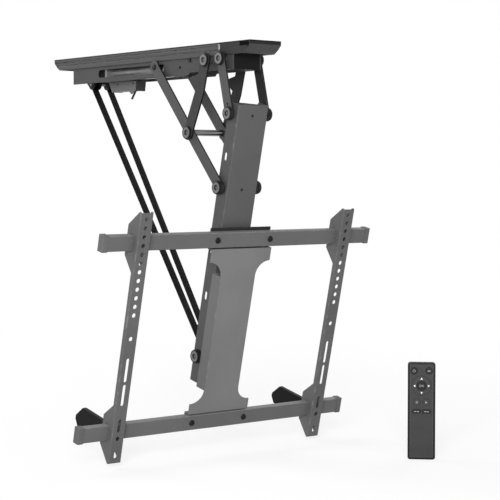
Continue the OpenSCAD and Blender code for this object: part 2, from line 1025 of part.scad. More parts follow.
// Half outline of the middle plate, from its ears to its waist along quarter flares
module spine_plate() {
    flare_x = spine_ear - spine_waist;
    flare_top = waist_top_s - ear_turn_s;
    flare_low = ear_back_s - waist_low_s;
    steps = 8;
    flange_back = 0;
    half = concat(
        [[0, -ear_top_s], [spine_ear, -ear_top_s], [spine_ear, -ear_turn_s]],
        [for (i = [1 : steps]) let (a = 90 * i / steps)
            [spine_ear - flare_x * sin(a), -ear_turn_s - flare_top * (1 - cos(a))]],
        [for (i = [0 : steps - 1]) let (a = 90 * i / steps)
            [spine_waist + flare_x * (1 - cos(a)), -waist_low_s - flare_low * sin(a)]],
        [[spine_ear, -ear_back_s], [spine_ear, -ear_low_s], [0, -ear_low_s]]
    );
    color(powder_light)
    in_column() {
        both_sides()
            translate([0, -spine_back, 0])
                rotate([90, 0, 0])
                    linear_extrude(spine_t)
                        polygon(half);
        both_sides() {
            column_box(
                spine_waist - spine_t, spine_waist, -spine_back, flange_back,
                waist_top_s, waist_low_s
            );
            column_box(
                foot_half, spine_waist - spine_t, flange_back - spine_t, flange_back,
                waist_top_s, col_l
            );
        }
    }
}

// Saddle behind the upper bar, joggled forward to the middle plate, with two feet on the column
module saddle_upper() {
    top = upper_bar_s - saddle_rise;
    joggle = ear_top_s + spine_t;
    color(powder_dark)
    in_column()
        difference() {
            union() {
                column_box(-spine_ear, spine_ear, -bar_back, spine_t - bar_back, top, joggle);
                column_box(-spine_ear, spine_ear, -spine_back, -bar_back, ear_top_s, joggle);
                both_sides()
                    column_box(
                        foot_half, foot_half + foot_w, spine_t - bar_back, 0,
                        top + saddle_rise, upper_bar_s + bar_h
                    );
            }
            for (x = [-1, 1])
                face_hole(
                    x * bar_bolt_x, upper_bar_s + bar_h / 2, bolt_d / 2 + run_gap,
                    -bar_front, 0
                );
        }
}

module saddle_lower() {
    low = lower_bar_s + bar_h + saddle_rise;
    joggle = ear_low_s - spine_t;
    color(powder_dark)
    in_column()
        difference() {
            union() {
                column_box(-spine_ear, spine_ear, -bar_back, spine_t - bar_back, joggle, low);
                column_box(-spine_ear, spine_ear, -spine_back, -bar_back, joggle, ear_low_s);
            }
            for (x = [-1, 1])
                face_hole(
                    x * bar_bolt_x, lower_bar_s + bar_h / 2, bolt_d / 2 + run_gap,
                    -bar_front, 0
                );
        }
}

// Square tube with its bolt holes
module bar(s) {
    difference() {
        column_box(-bar_cut, bar_cut, -bar_front, -bar_back, s, s + bar_h);
        column_box(
            -bar_cut - over, bar_cut + over, bar_t - bar_front, -bar_back - bar_t,
            s + bar_t, s + bar_h - bar_t
        );
        for (x = [-1, 1])
            face_hole(
                x * bar_bolt_x, s + bar_h / 2, bolt_d / 2 + run_gap,
                -bar_front - over, over - bar_back
            );
    }
}

module upper_bar() {
    color(powder_light)
    in_column()
        bar(upper_bar_s);
}

module lower_bar() {
    color(powder_light)
    in_column()
        bar(lower_bar_s);
}

// Push-on cap over a bar's end
module bar_end_cap(s) {
    proud = end_cap_proud;
    difference() {
        column_box(
            bar_half - end_cap_l, bar_half, -bar_front - proud, proud - bar_back,
            s - proud, s + bar_h + proud
        );
        column_box(
            bar_half - end_cap_l - over, bar_cut, -bar_front, -bar_back, s, s + bar_h
        );
    }
}

module bar_end_caps() {
    color(powder_dark)
    in_column()
        both_sides() {
            bar_end_cap(upper_bar_s);
            bar_end_cap(lower_bar_s);
        }
}

// Button-head bolt through a bar and its saddle, with its nut behind
module bar_bolt(x, s) {
    nut_n = spine_t - bar_back;
    face_hole(x, s, bolt_d / 2, -bar_front, nut_n + bolt_nut_t);
    difference() {
        translate([x, -bar_front - bolt_head_t, -s])
            rotate([-90, 0, 0])
                cylinder(d1 = 0.7 * bolt_head_d, d2 = bolt_head_d, h = bolt_head_t);
        translate([x, -bar_front - bolt_head_t - over, -s])
            rotate([-90, 0, 0])
                cylinder(d = 0.5 * bolt_d, h = over + bolt_head_t / 2, $fn = 6);
    }
    translate([x, nut_n, -s])
        rotate([-90, 0, 0])
            cylinder(d = 1.7 * bolt_d, h = bolt_nut_t, $fn = 6);
}

module bar_bolts() {
    color(black)
    in_column()
        for (x = [-1, 1], s = [upper_bar_s, lower_bar_s])
            bar_bolt(x * bar_bolt_x, s + bar_h / 2);
}

// Shouldered screws at the lower pivot and bosses at the upper pivot
module column_screws() {
    color(zinc)
    both_sides() {
        hex(nut_across_r, col_in - nut_t, col_in, lower);
        rod(stud_r, col_in - nut_t, collar_x1, lower);
        rod(shoulder_r, col_half, main_x0 - face_gap, lower);
        cap(lower);
        hex(nut_across_r, col_in - nut_t, col_in, upper);
        rod(stud_r, col_in - nut_t, col_half, upper);
        rod(shoulder_r, col_half, link_x0 - face_gap, upper);
    }
}

module column_collars() {
    color(black)
    both_sides() {
        ring(collar_r, bore_r, main_x1 + face_gap, collar_x1, lower);
        ring(collar_r, pin_end_r + run_gap, col_half, main_x1, anchor);
    }
}

// Pin across the column that the straps loop round, with capped ends
pin_end_r = 4;
module strap_pin() {
    color(zinc) {
        rod(pin_sleeve_r, -col_in, col_in, anchor);
        both_sides() {
            rod(pin_end_r, col_in, main_x1, anchor);
            translate([main_x1 - collar_x1, 0, 0])
                cap(anchor);
        }
    }
}

// Side outline of a bracket's flange, in n behind the face and s down the column
module flange_outline() {
    top = bracket_top_s - 0.6 * bracket_t;
    low = bracket_low_s;
    wing_low = upper_bar_s + 1.4 * bar_h;
    tail_top = lower_bar_s - 0.52 * bar_h;
    waist_reach = wing_back - waist_back;
    polygon([
        [-bracket_front, -bracket_top_s],
        [0.8 * bracket_t - bracket_front, -top],
        [chamfer_out, -top],
        [wing_back, -top - wing_reach],
        [wing_back, -wing_low],
        [waist_back, -wing_low - waist_reach],
        [waist_back, -tail_top + waist_reach],
        [wing_back, -tail_top],
        [wing_back, -low + wing_reach],
        [chamfer_out, -low],
        [-bracket_front, -low]
    ]);
}

// Screen bracket on its own centre line
module bracket(x) {
    half = bracket_half;
    back = bracket_t - bracket_front;
    in_column() {
        difference() {
            union() {
                column_box(
                    x - half, x + half, -bracket_front, back, bracket_top_s, bracket_low_s
                );
                side_plate(x - half, x - half + bracket_t)
                    flange_outline();
                side_plate(x + half - bracket_t, x + half)
                    flange_outline();
            }
            for (s = [upper_bar_s, lower_bar_s])
                column_box(
                    x - half - over, x + half + over,
                    -bar_front - notch_gap, notch_gap - bar_back,
                    s - notch_gap, s + bar_h + notch_gap
                );
            for (i = [0 : hole_count - 1])
                face_hole(
                    x, first_hole_s + i * screen_pitch, screen_hole_d / 2,
                    -bracket_front - over, back + over
                );
            for (share = single_hole_shares)
                face_hole(
                    x, bracket_top_s + share * bracket_l, screen_hole_d / 2,
                    -bracket_front - over, back + over
                );
            for (share = screen_slot_shares)
                face_slot(
                    x, bracket_top_s + share[0] * bracket_l, bracket_top_s + share[1] * bracket_l,
                    slot_r, -bracket_front - over, back + over
                );
        }
        translate([x - half, lever_pivot[0], -lever_pivot[1]])
            rotate([0, 90, 0])
                cylinder(r = lever_pin_r, h = bracket_w);
    }
}

module bracket_left() {
    color(powder)
        bracket(bracket_left_x);
}

module bracket_right() {
    color(powder)
        bracket(bracket_right_x);
}

// Lock lever behind the lower bar, on a pin under the bar between the bracket's flanges
module lever(x) {
    bar_low = lower_bar_s + bar_h;
    nose_n = notch_gap - bar_back + bracket_t / 5;
    hub_n = lever_pivot[0] + 0.3 * lever_hub_r;
    hub_top = lever_pivot[1] - 0.9 * lever_hub_r;
    hub_low = lever_pivot[1] + 0.9 * lever_hub_r;
    in_column()
        difference() {
            side_plate(x - lever_t / 2, x + lever_t / 2) {
                polygon([
                    [nose_n, -lower_bar_s - bar_h / 6],
                    [nose_n, -bar_low + bar_h / 5],
                    [nose_n + lever_pin_r / 2, -hub_top],
                    [hub_n, -hub_top],
                    [hub_n, -hub_low],
                    [0.35 * lever_reach, -bar_low - bar_h / 4],
                    [0.9 * lever_reach, -bar_low - bar_h / 2],
                    [lever_reach, -bar_low - bar_h / 12],
                    [lever_reach, -bar_low + bar_h / 6],
                    [0.79 * lever_reach, -lower_bar_s - bar_h / 8],
                    [-nose_n / 4, -lower_bar_s - bar_h / 8]
                ]);
                translate([lever_pivot[0], -lever_pivot[1]])
                    circle(r = lever_hub_r);
            }
            translate([x - lever_t, lever_pivot[0], -lever_pivot[1]])
                rotate([0, 90, 0])
                    cylinder(r = lever_pin_r + run_gap, h = 2 * lever_t);
        }
}

module lever_left() {
    color(black)
        lever(bracket_left_x);
}

module lever_right() {
    color(black)
        lever(bracket_right_x);
}

// Places things on the remote control, whose front looks along -y and whose foot is at zero
module on_remote() {
    translate([remote_x, remote_y, -remote_floor])
        rotate([0, 0, remote_turn])
            children();
}

// Upright slab with round corners, drawn in by a length, from y0 to y1
module slab(inset, y0, y1) {
    r = max(remote_r - inset, remote_r / 5);
    w = remote_w - 2 * inset;
    h = remote_h - 2 * inset;
    translate([0, y1, inset])
        rotate([90, 0, 0])
            linear_extrude(y1 - y0) {
                translate([-w / 2 + r, 0])
                    square([w - 2 * r, h]);
                translate([-w / 2, r])
                    square([w, h - 2 * r]);
                for (x = [-1, 1], z = [r, h - r])
                    translate([x * (w / 2 - r), z])
                        circle(r = r);
            }
}

// Key places across and up the front, and radii, as shares of the remote control's width and height
key_pair_share = [0.27, 0.913];
ring_share = 0.76;
middle_pair_share = [0.17, 0.59];
pill_pair_share = [0.18, 0.495];
round_r = 0.125 * remote_w;
ring_r = 0.35 * remote_w;
ok_r = 0.17 * remote_w;
pill_r = 0.07 * remote_w;
pill_half = 0.155 * remote_w;

// Round bar along y at a place on the remote control's front
module button(x, z, r, y0, y1) {
    translate([x, y0, z])
        rotate([-90, 0, 0])
            cylinder(r = r, h = y1 - y0);
}

module pill(x, z, r, half, y0, y1) {
    for (i = [-1, 1])
        button(x + i * (half - r), z, r, y0, y1);
    translate([x - half + r, y0, z - r])
        cube([2 * (half - r), y1 - y0, 2 * r]);
}

module key_shapes(g, y0, y1) {
    for (i = [-1, 1]) {
        button(i * key_pair_share[0] * remote_w, key_pair_share[1] * remote_h, round_r + g, y0, y1);
        button(
            i * middle_pair_share[0] * remote_w, middle_pair_share[1] * remote_h,
            round_r + g, y0, y1
        );
        pill(
            i * pill_pair_share[0] * remote_w, pill_pair_share[1] * remote_h,
            pill_r + g, pill_half + g, y0, y1
        );
    }
    button(0, ring_share * remote_h, ring_r + g, y0, y1);
}

key_back = front_d - shell_t - key_travel;

module remote_front() {
    color(powder_dark)
    on_remote()
        difference() {
            slab(0, 0, front_d);
            slab(shell_t, shell_t, front_d + over);
            key_shapes(key_gap, -over, shell_t + over);
        }
}

module remote_back() {
    color(powder_dark)
    on_remote()
        difference() {
            slab(0, front_d, remote_d);
            slab(shell_t, front_d + shell_t, remote_d - shell_t);
            door_shape(key_gap, remote_d - shell_t - over, remote_d + over);
        }
}

// Battery door's outline in the back
module door_shape(g, y0, y1) {
    w = 0.7 * remote_w + 2 * g;
    translate([-w / 2, y0, 0.08 * remote_h - g])
        cube([w, y1 - y0, 0.36 * remote_h + 2 * g]);
}

module battery_door() {
    color(powder_dark)
    on_remote()
        door_shape(0, remote_d - shell_t, remote_d);
}

module batteries() {
    cell_r = (back_d - 2 * shell_t - face_gap) / 2;
    color(steel)
    on_remote()
        for (i = [-1, 1])
            translate([i * 1.5 * cell_r, front_d + shell_t + cell_r, 0.12 * remote_h])
                cylinder(r = cell_r, h = 0.24 * remote_h);
}

// Keys stand proud of the front by their travel and rest inside on the inner wall
module round_key(x, z) {
    on_remote() {
        button(x, z, round_r, -key_travel, shell_t);
        button(x, z, round_r + 2 * key_gap, shell_t, 2 * shell_t);
    }
}

module key_power() {
    color(powder_light)
        round_key(-key_pair_share[0] * remote_w, key_pair_share[1] * remote_h);
}

module key_mute() {
    color(powder_light)
        round_key(key_pair_share[0] * remote_w, key_pair_share[1] * remote_h);
}

module key_left() {
    color(powder_light)
        round_key(-middle_pair_share[0] * remote_w, middle_pair_share[1] * remote_h);
}

module key_right() {
    color(powder_light)
        round_key(middle_pair_share[0] * remote_w, middle_pair_share[1] * remote_h);
}

module key_ring() {
    z = ring_share * remote_h;
    color(powder_light)
    on_remote()
        difference() {
            union() {
                button(0, z, ring_r, -key_travel, shell_t);
                button(0, z, ring_r + 2 * key_gap, shell_t, 2 * shell_t);
            }
            button(0, z, ok_r + key_gap, -key_travel - over, 2 * shell_t + over);
        }
}

module key_ok() {
    color(powder_light)
    on_remote()
        button(0, ring_share * remote_h, ok_r, -key_travel, 2 * shell_t);
}

module pill_key(x) {
    z = pill_pair_share[1] * remote_h;
    on_remote() {
        pill(x, z, pill_r, pill_half, -key_travel, shell_t);
        pill(x, z, pill_r + 2 * key_gap, pill_half + 2 * key_gap, shell_t, 2 * shell_t);
    }
}

module pill_left() {
    color(powder_light)
        pill_key(-pill_pair_share[0] * remote_w);
}

module pill_right() {
    color(powder_light)
        pill_key(pill_pair_share[0] * remote_w);
}

ceiling_tray();
nose_cap();
receiver_window();
rail_left();
rail_right();
front_plate();
rail_screws();
gearmotor();
gearbox();
winch_bearings();
control_bracket();
control_box();
end_block();
receiver_stub();
power_inlet();
upper_pivots();
upper_collars();
strap_left();
strap_right();
winch_shaft();
spools();
crank_arm_left();
crank_arm_right();
main_arm_left();
main_arm_right();
cross_axle();
axle_screws();
middle_collars();
slide_pins();
link_arm_left();
link_arm_right();
link_screws();
link_collars();
column();
spine_plate();
saddle_upper();
saddle_lower();
upper_bar();
lower_bar();
bar_end_caps();
bar_bolts();
column_screws();
column_collars();
strap_pin();
bracket_left();
bracket_right();
lever_left();
lever_right();
remote_front();
remote_back();
battery_door();
batteries();
key_power();
key_mute();
key_ring();
key_ok();
key_left();
key_right();
pill_left();
pill_right();
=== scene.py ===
import json
from math import cos, pi, radians, sin

import bmesh
import bpy
from bpy.props import FloatProperty, FloatVectorProperty, PointerProperty
from mathutils import Matrix, Vector

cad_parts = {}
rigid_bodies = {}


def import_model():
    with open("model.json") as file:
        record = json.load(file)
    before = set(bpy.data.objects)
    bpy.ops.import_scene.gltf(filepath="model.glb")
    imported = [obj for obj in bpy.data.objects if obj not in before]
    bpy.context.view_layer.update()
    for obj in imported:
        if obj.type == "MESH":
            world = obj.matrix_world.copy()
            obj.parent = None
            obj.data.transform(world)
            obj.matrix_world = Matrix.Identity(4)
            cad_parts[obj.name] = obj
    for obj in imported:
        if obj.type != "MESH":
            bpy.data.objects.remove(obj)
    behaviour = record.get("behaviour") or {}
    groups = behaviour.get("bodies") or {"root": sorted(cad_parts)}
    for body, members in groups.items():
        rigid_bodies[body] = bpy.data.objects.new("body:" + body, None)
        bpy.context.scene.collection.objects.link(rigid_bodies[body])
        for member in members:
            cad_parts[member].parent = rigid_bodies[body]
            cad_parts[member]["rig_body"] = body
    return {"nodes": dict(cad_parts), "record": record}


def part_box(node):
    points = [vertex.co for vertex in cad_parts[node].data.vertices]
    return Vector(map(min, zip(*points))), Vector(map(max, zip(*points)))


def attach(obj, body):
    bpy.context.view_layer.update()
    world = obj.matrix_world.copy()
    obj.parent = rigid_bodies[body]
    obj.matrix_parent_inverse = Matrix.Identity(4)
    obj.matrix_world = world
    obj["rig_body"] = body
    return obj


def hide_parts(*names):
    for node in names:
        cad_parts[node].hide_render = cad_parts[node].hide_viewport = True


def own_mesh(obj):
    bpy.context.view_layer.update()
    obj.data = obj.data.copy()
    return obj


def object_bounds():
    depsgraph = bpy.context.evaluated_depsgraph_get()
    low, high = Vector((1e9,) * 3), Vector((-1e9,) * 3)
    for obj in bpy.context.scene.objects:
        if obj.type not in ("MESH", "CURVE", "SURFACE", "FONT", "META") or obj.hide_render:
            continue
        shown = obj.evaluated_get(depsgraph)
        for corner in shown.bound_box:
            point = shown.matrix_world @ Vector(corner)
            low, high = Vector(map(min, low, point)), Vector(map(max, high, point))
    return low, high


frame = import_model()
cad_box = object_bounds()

bl_info = {
    "name": "Ceiling mount looks",
    "version": (1, 0, 0),
    "blender": (4, 5, 0),
    "location": "3D View > Sidebar > Ceiling mount",
    "description": "Dresses the motorized ceiling mount with its finishes, webbing, small parts and stage",
    "category": "Object",
}

MM = 0.001
X_AXIS = (1, 0, 0)
Y_AXIS = (0, 1, 0)
Z_AXIS = (0, 0, 1)


def linear(grey_step):
    """Linear value of a grey step from 0 to 255."""
    share = grey_step / 255
    return share / 12.92 if share <= 0.04045 else ((share + 0.055) / 1.055) ** 2.4


def grey(step, warm=0.0):
    """Linear colour of a grey step, a little warmer or cooler."""
    return (linear(step * (1 + warm)), linear(step), linear(step * (1 - warm)))


def colour_setting(name, description, step):
    return FloatVectorProperty(
        name=name, description=description, subtype="COLOR", size=3, min=0, max=1, default=grey(step),
    )


def length_setting(name, description, default, low=0.0, high=3.0):
    return FloatProperty(
        name=name, description=description, subtype="DISTANCE", unit="LENGTH",
        default=default, min=low, max=high, precision=5,
    )


def power_setting(name, description, default):
    return FloatProperty(name=name, description=description, default=default, min=0)


class MountFinishSettings(bpy.types.PropertyGroup):
    powder: colour_setting("Powder coat", "Coat of the ceiling tray and the control box's plate", 74)
    rail: colour_setting("Rail coat", "Coat of the rails", 68)
    crank: colour_setting("Crank coat", "Coat of the crank arms", 54)
    arm: colour_setting("Arm coat", "Coat of the main arms and the link arms", 74)
    column: colour_setting("Column coat", "Coat of the column", 86)
    bracket: colour_setting("Bracket coat", "Coat of the screen brackets", 92)
    bar: colour_setting("Bar coat", "Coat of the screen bars", 96)
    plate: colour_setting("Plate coat", "Coat of the middle plate", 114)
    powder_dark: colour_setting("Dark coat", "Coat of the gearbox and bearings", 38)
    saddle: colour_setting("Saddle coat", "Coat of the saddles behind the bars", 92)
    black_coat: colour_setting("Black coat", "Coat of the levers and the front plate", 26)
    zinc: colour_setting("Zinc", "Plating of the motor's tube", 140)
    cap: colour_setting("Cap plating", "Plating of the pivot caps", 108)
    blackened: colour_setting("Blackened steel", "Bolts, rail screws and sliding pins", 14)
    steel: colour_setting("Bright steel", "Cross axle between the main arms", 128)
    winch: colour_setting("Winch steel", "Winch shaft", 120)
    # The column plugs are dark discs that paint the shade inside the column's holes.
    black_plastic: colour_setting("Black plastic", "Collars, spools, stub and column plugs", 32)
    bar_end: colour_setting("Bar end plastic", "End caps of the screen bars", 94)
    nose: colour_setting("Front cap plastic", "Front cap of the tray and the end block", 48)
    cap_plastic: colour_setting("Case plastic", "Control box", 98)
    # The rails' plugs are near-black discs that paint the shade inside the rails' small holes.
    window: colour_setting("Window", "Dark infrared window and the rails' plugs", 4)
    webbing: colour_setting("Webbing", "Woven straps", 22)
    thread: colour_setting("Thread", "Stitches in the straps", 40)
    remote_case: colour_setting("Remote case", "Shells of the remote control", 59)
    rubber_key: colour_setting("Keys", "Rubber keys of the remote control", 42)
    mark: colour_setting("Bright marks", "Printed arrows on the ring key", 225)
    faint_mark: colour_setting("Faint marks", "Printed marks on the other keys", 160)
    cell: colour_setting("Cells", "Metal can of the cells", 168)
    grain: length_setting("Powder grain", "Size of the coat's orange peel", 1.3 * MM, 0.2 * MM, 5 * MM)


class MountStrapSettings(bpy.types.PropertyGroup):
    edge: length_setting("Strap edge", "Radius of the strap's rounded edges", 0.7 * MM, 0.2 * MM, 0.8 * MM)
    tail: length_setting("Sewn tail", "Length of the tail sewn back on the strap", 46 * MM, 20 * MM, 80 * MM)
    stitch: length_setting("Stitch", "Length of one stitch", 2.6 * MM, 1.5 * MM, 5 * MM)
    keep: FloatProperty(
        name="Keep", description="Share of the strap that is left out when the column is up",
        default=0.03, min=0.02, max=1, subtype="FACTOR",
    )


class MountEdgeSettings(bpy.types.PropertyGroup):
    sheet: length_setting("Sheet edge", "Rounding of cut sheet edges", 0.35 * MM, 0.1 * MM, 1 * MM)
    fold: length_setting("Fold radius", "Outer radius of bent sheet", 2.2 * MM, 0.5 * MM, 4 * MM)
    moulded: length_setting("Moulded edge", "Rounding of moulded plastic edges", 0.8 * MM, 0.2 * MM, 2 * MM)
    remote: length_setting("Remote edge", "Rounding of the remote control's back", 3.2 * MM, 1 * MM, 5 * MM)


class MountStageSettings(bpy.types.PropertyGroup):
    eye: FloatVectorProperty(
        name="Camera", description="Place of the camera", subtype="TRANSLATION", unit="LENGTH",
        size=3, default=(-1.8934, -2.6422, -0.2529), precision=4,
    )
    azimuth: FloatProperty(
        name="Azimuth", description="Turn of the camera about the upright", subtype="ANGLE",
        unit="ROTATION", default=radians(-38.9),
    )
    elevation: FloatProperty(
        name="Elevation", description="How far the camera looks down", subtype="ANGLE",
        unit="ROTATION", default=radians(2.7),
    )
    lens: FloatProperty(
        name="Lens", description="Focal length on a sensor 36 mm wide", unit="CAMERA", default=113.9,
    )
    floor: length_setting("Floor", "Half width of the floor", 12.0, 2.0, 40.0)
    key_light: power_setting("Key light", "Power of the key light in watts", 120.0)
    fill_light: power_setting("Fill light", "Power of the fill light in watts", 40.0)
    top_light: power_setting("Top light", "Power of the top light in watts", 60.0)
    sky: power_setting("Sky", "Strength of the surrounding light", 0.4)


def feed(tree, socket, value):
    """Links a socket to a value's socket, or sets it to a plain value."""
    if isinstance(value, bpy.types.NodeSocket):
        tree.links.new(value, socket)
    elif value is not None:
        socket.default_value = value


def add(tree, kind, inputs=(), **settings):
    """A new node with its inputs fed and its settings made."""
    node = tree.nodes.new(kind)
    for name, value in settings.items():
        setattr(node, name, value)
    pairs = inputs.items() if isinstance(inputs, dict) else enumerate(inputs)
    for key, value in pairs:
        feed(tree, node.inputs[key], value)
    return node


def result(tree, kind, inputs=(), **settings):
    """The first output of a new node."""
    return add(tree, kind, inputs, **settings).outputs[0]


def maths(tree, operation, *values):
    return result(tree, "ShaderNodeMath", values, operation=operation)


def plus(tree, first, second):
    return maths(tree, "ADD", first, second)


def times(tree, first, *others):
    """The product of two or more values."""
    for other in others:
        first = maths(tree, "MULTIPLY", first, other)
    return first


def stretched(tree, vector, factors):
    return result(tree, "ShaderNodeVectorMath", (vector, factors), operation="MULTIPLY")


def toned(tree, colour, shade):
    """A colour made lighter or darker by a factor."""
    node = add(tree, "ShaderNodeVectorMath", (colour,), operation="SCALE")
    feed(tree, node.inputs["Scale"], shade)
    return node.outputs[0]


def noise(tree, vector, scale, detail=2.0, roughness=0.5):
    return add(
        tree, "ShaderNodeTexNoise",
        {"Vector": vector, "Scale": scale, "Detail": detail, "Roughness": roughness},
    ).outputs["Fac"]


def between(tree, value, low, high, out_low=0.0, out_high=1.0):
    """Maps a value from one range on another, smoothly and clamped."""
    return result(
        tree, "ShaderNodeMapRange",
        {"Value": value, "From Min": low, "From Max": high, "To Min": out_low, "To Max": out_high},
        interpolation_type="SMOOTHSTEP",
    )


def blended(tree, share, first, second):
    """A mix of two colours."""
    node = add(tree, "ShaderNodeMix", data_type="RGBA", blend_type="MIX")
    for index, value in ((0, share), (6, first), (7, second)):
        feed(tree, node.inputs[index], value)
    return node.outputs[2]


def mask(tree, name):
    return add(tree, "ShaderNodeAttribute", attribute_name=name).outputs["Fac"]


def painted_light_factor(tree):
    """The factor that a face's tone mask stands for, from -1 (lighter) to 1 (darker)."""
    return between(tree, mask(tree, "shade"), -1.0, 1.0, 1.85, 0.15)


def object_place(tree):
    return add(tree, "ShaderNodeTexCoord").outputs["Object"]


FLOAT = "NodeSocketFloat"
COLOUR = "NodeSocketColor"
GEOMETRY = "NodeSocketGeometry"
MATERIAL = "NodeSocketMaterial"


def node_group(name, kind, takes, gives):
    """Makes a builder into a function that builds its node group once and then hands it out."""
    def wrap(build):
        def get():
            if name in bpy.data.node_groups:
                return bpy.data.node_groups[name]
            tree = bpy.data.node_groups.new(name, kind)
            for label, socket, default in takes:
                made = tree.interface.new_socket(label, in_out="INPUT", socket_type=socket)
                if default is not None:
                    made.default_value = default
            for label, socket in gives:
                tree.interface.new_socket(label, in_out="OUTPUT", socket_type=socket)
            build(tree, add(tree, "NodeGroupInput").outputs, add(tree, "NodeGroupOutput").inputs)
            return tree
        get.__doc__ = build.__doc__
        return get
    return wrap


def look_group(name, **values):
    """A shader group that turns a colour and some values into colour, roughness and height."""
    takes = [("Colour", COLOUR, None)] + [(label, FLOAT, value) for label, value in values.items()]
    gives = [("Colour", COLOUR), ("Roughness", FLOAT), ("Height", FLOAT)]
    return node_group(name, "ShaderNodeTree", takes, gives)


def form_group(name, **sizes):
    """A geometry group that takes a carrier, sizes in millimetres and a material."""
    takes = [("Geometry", GEOMETRY, None)] + [(label, FLOAT, size * MM) for label, size in sizes.items()]
    takes.append(("Finish", MATERIAL, None))
    return node_group(name, "GeometryNodeTree", takes, [("Geometry", GEOMETRY)])


@look_group("Powder coat", Grain=700.0, Wear=0.5)
def powder_group(tree, takes, gives):
    """Orange peel, fine speckle and slow mottle of a powder coat."""
    where = object_place(tree)
    peel = noise(tree, where, takes["Grain"], 3.0, 0.55)
    speck = noise(tree, where, 2600.0, 1.0)
    mottle = noise(tree, where, 9.0, 3.0)
    rubbed = between(tree, noise(tree, where, 60.0, 4.0, 0.6), 0.48, 0.66)
    wear = times(tree, mask(tree, "edge"), rubbed, takes["Wear"])
    cloud = between(tree, mottle, 0.3, 0.7, 0.94, 1.06)
    # The face mask adds painted shade and painted highlights over the coat's own mottle and speckle.
    shade = times(tree, cloud, between(tree, speck, 0.35, 0.75, 0.9, 1.14), painted_light_factor(tree))
    plain = toned(tree, takes["Colour"], shade)
    bare = toned(tree, takes["Colour"], 1.9)
    feed(tree, gives["Colour"], blended(tree, wear, plain, bare))
    rough = between(tree, peel, 0.3, 0.7, 0.4, 0.54)
    rough = plus(tree, rough, between(tree, mottle, 0.35, 0.65, -0.03, 0.05))
    feed(tree, gives["Roughness"], maths(tree, "SUBTRACT", rough, times(tree, wear, 0.12)))
    feed(tree, gives["Height"], plus(tree, peel, times(tree, speck, 0.35)))


@look_group("Plated metal", Roughness=0.3, Brushing=0.5)
def metal_group(tree, takes, gives):
    """Fine brushing, handling marks and cloudiness of plated or bright metal."""
    where = object_place(tree)
    lines = noise(tree, stretched(tree, where, (60.0, 2400.0, 2400.0)), 1.0, 2.0)
    smear = noise(tree, where, 14.0, 4.0, 0.65)
    cloud = between(tree, noise(tree, where, 45.0, 3.0), 0.3, 0.7, 0.86, 1.08)
    # The face mask paints shade: it darkens the pivot caps' sockets and rings.
    shade = times(tree, cloud, between(tree, mask(tree, "shade"), 0.0, 1.0, 1.0, 0.04))
    feed(tree, gives["Colour"], toned(tree, takes["Colour"], shade))
    rough = plus(tree, takes["Roughness"], between(tree, smear, 0.4, 0.7, -0.04, 0.12))
    feed(tree, gives["Roughness"], rough)
    feed(tree, gives["Height"], times(tree, lines, takes["Brushing"]))


@look_group("Moulded plastic", Roughness=0.45, Texture=1100.0)
def moulded_group(tree, takes, gives):
    """Spark-eroded texture, faint flow marks and handling sheen of moulded plastic."""
    where = object_place(tree)
    pits = add(
        tree, "ShaderNodeTexVoronoi", {"Vector": where, "Scale": takes["Texture"]}, feature="SMOOTH_F1",
    ).outputs["Distance"]
    fine = noise(tree, where, 2200.0, 2.0)
    flow = noise(tree, stretched(tree, where, (8.0, 8.0, 30.0)), 1.0, 3.0)
    touch = noise(tree, where, 40.0, 3.0, 0.6)
    cloud = between(tree, flow, 0.3, 0.7, 0.93, 1.07)
    shade = times(tree, cloud, between(tree, fine, 0.3, 0.7, 0.95, 1.05))
    shade = plus(tree, shade, times(tree, mask(tree, "edge"), 0.12))
    # The face mask adds painted shade and painted highlights on the front cap's facets and round the remote
    # control's face.
    feed(tree, gives["Colour"], toned(tree, takes["Colour"], times(tree, shade, painted_light_factor(tree))))
    rough = plus(tree, takes["Roughness"], between(tree, touch, 0.4, 0.65, 0.04, -0.08))
    feed(tree, gives["Roughness"], rough)
    feed(tree, gives["Height"], plus(tree, pits, times(tree, fine, 0.4)))


@node_group("Settled dust", "ShaderNodeTree", [("Amount", FLOAT, 0.2)], [("Mask", FLOAT)])
def dust_group(tree, takes, gives):
    """Thin dust that settles on faces that look up."""
    normal = add(tree, "ShaderNodeNewGeometry").outputs["Normal"]
    up = add(tree, "ShaderNodeSeparateXYZ", (normal,)).outputs[2]
    cloud = between(tree, noise(tree, object_place(tree), 35.0, 5.0, 0.7), 0.35, 0.75, 0.25, 1.0)
    feed(tree, gives["Mask"], times(tree, between(tree, up, 0.55, 0.98), cloud, takes["Amount"]))


@look_group("Webbing weave", Warp=1.0, Weft=0.9)
def weave_group(tree, takes, gives):
    """Ribbed weave of a strap from its own map: u across and v along it, in millimetres."""
    where = object_place(tree)
    place = add(tree, "ShaderNodeSeparateXYZ", (add(tree, "ShaderNodeTexCoord").outputs["UV"],)).outputs
    across = times(tree, place[0], maths(tree, "DIVIDE", 2 * pi, takes["Warp"]))
    along = times(tree, place[1], maths(tree, "DIVIDE", 2 * pi, takes["Weft"]))
    warp = maths(tree, "ABSOLUTE", maths(tree, "SINE", across))
    slant = plus(tree, along, times(tree, maths(tree, "PINGPONG", across, 2 * pi), 0.8))
    weft = maths(tree, "ABSOLUTE", maths(tree, "SINE", slant))
    knit = times(tree, maths(tree, "POWER", warp, 0.6), maths(tree, "POWER", weft, 0.5))
    fuzz = noise(tree, where, 1800.0, 3.0, 0.7)
    fade = noise(tree, where, 30.0, 3.0)
    shade = plus(tree, between(tree, knit, 0.0, 1.0, 0.5, 1.25), between(tree, fuzz, 0.3, 0.7, -0.12, 0.16))
    shade = times(tree, shade, between(tree, fade, 0.3, 0.7, 0.9, 1.1))
    feed(tree, gives["Colour"], toned(tree, takes["Colour"], shade))
    feed(tree, gives["Roughness"], between(tree, knit, 0.0, 1.0, 0.85, 0.6))
    feed(tree, gives["Height"], plus(tree, knit, times(tree, fuzz, 0.25)))


def empty_tree(owner):
    """The cleared node tree of a material or a world."""
    owner.use_nodes = True
    owner.node_tree.nodes.clear()
    return owner.node_tree


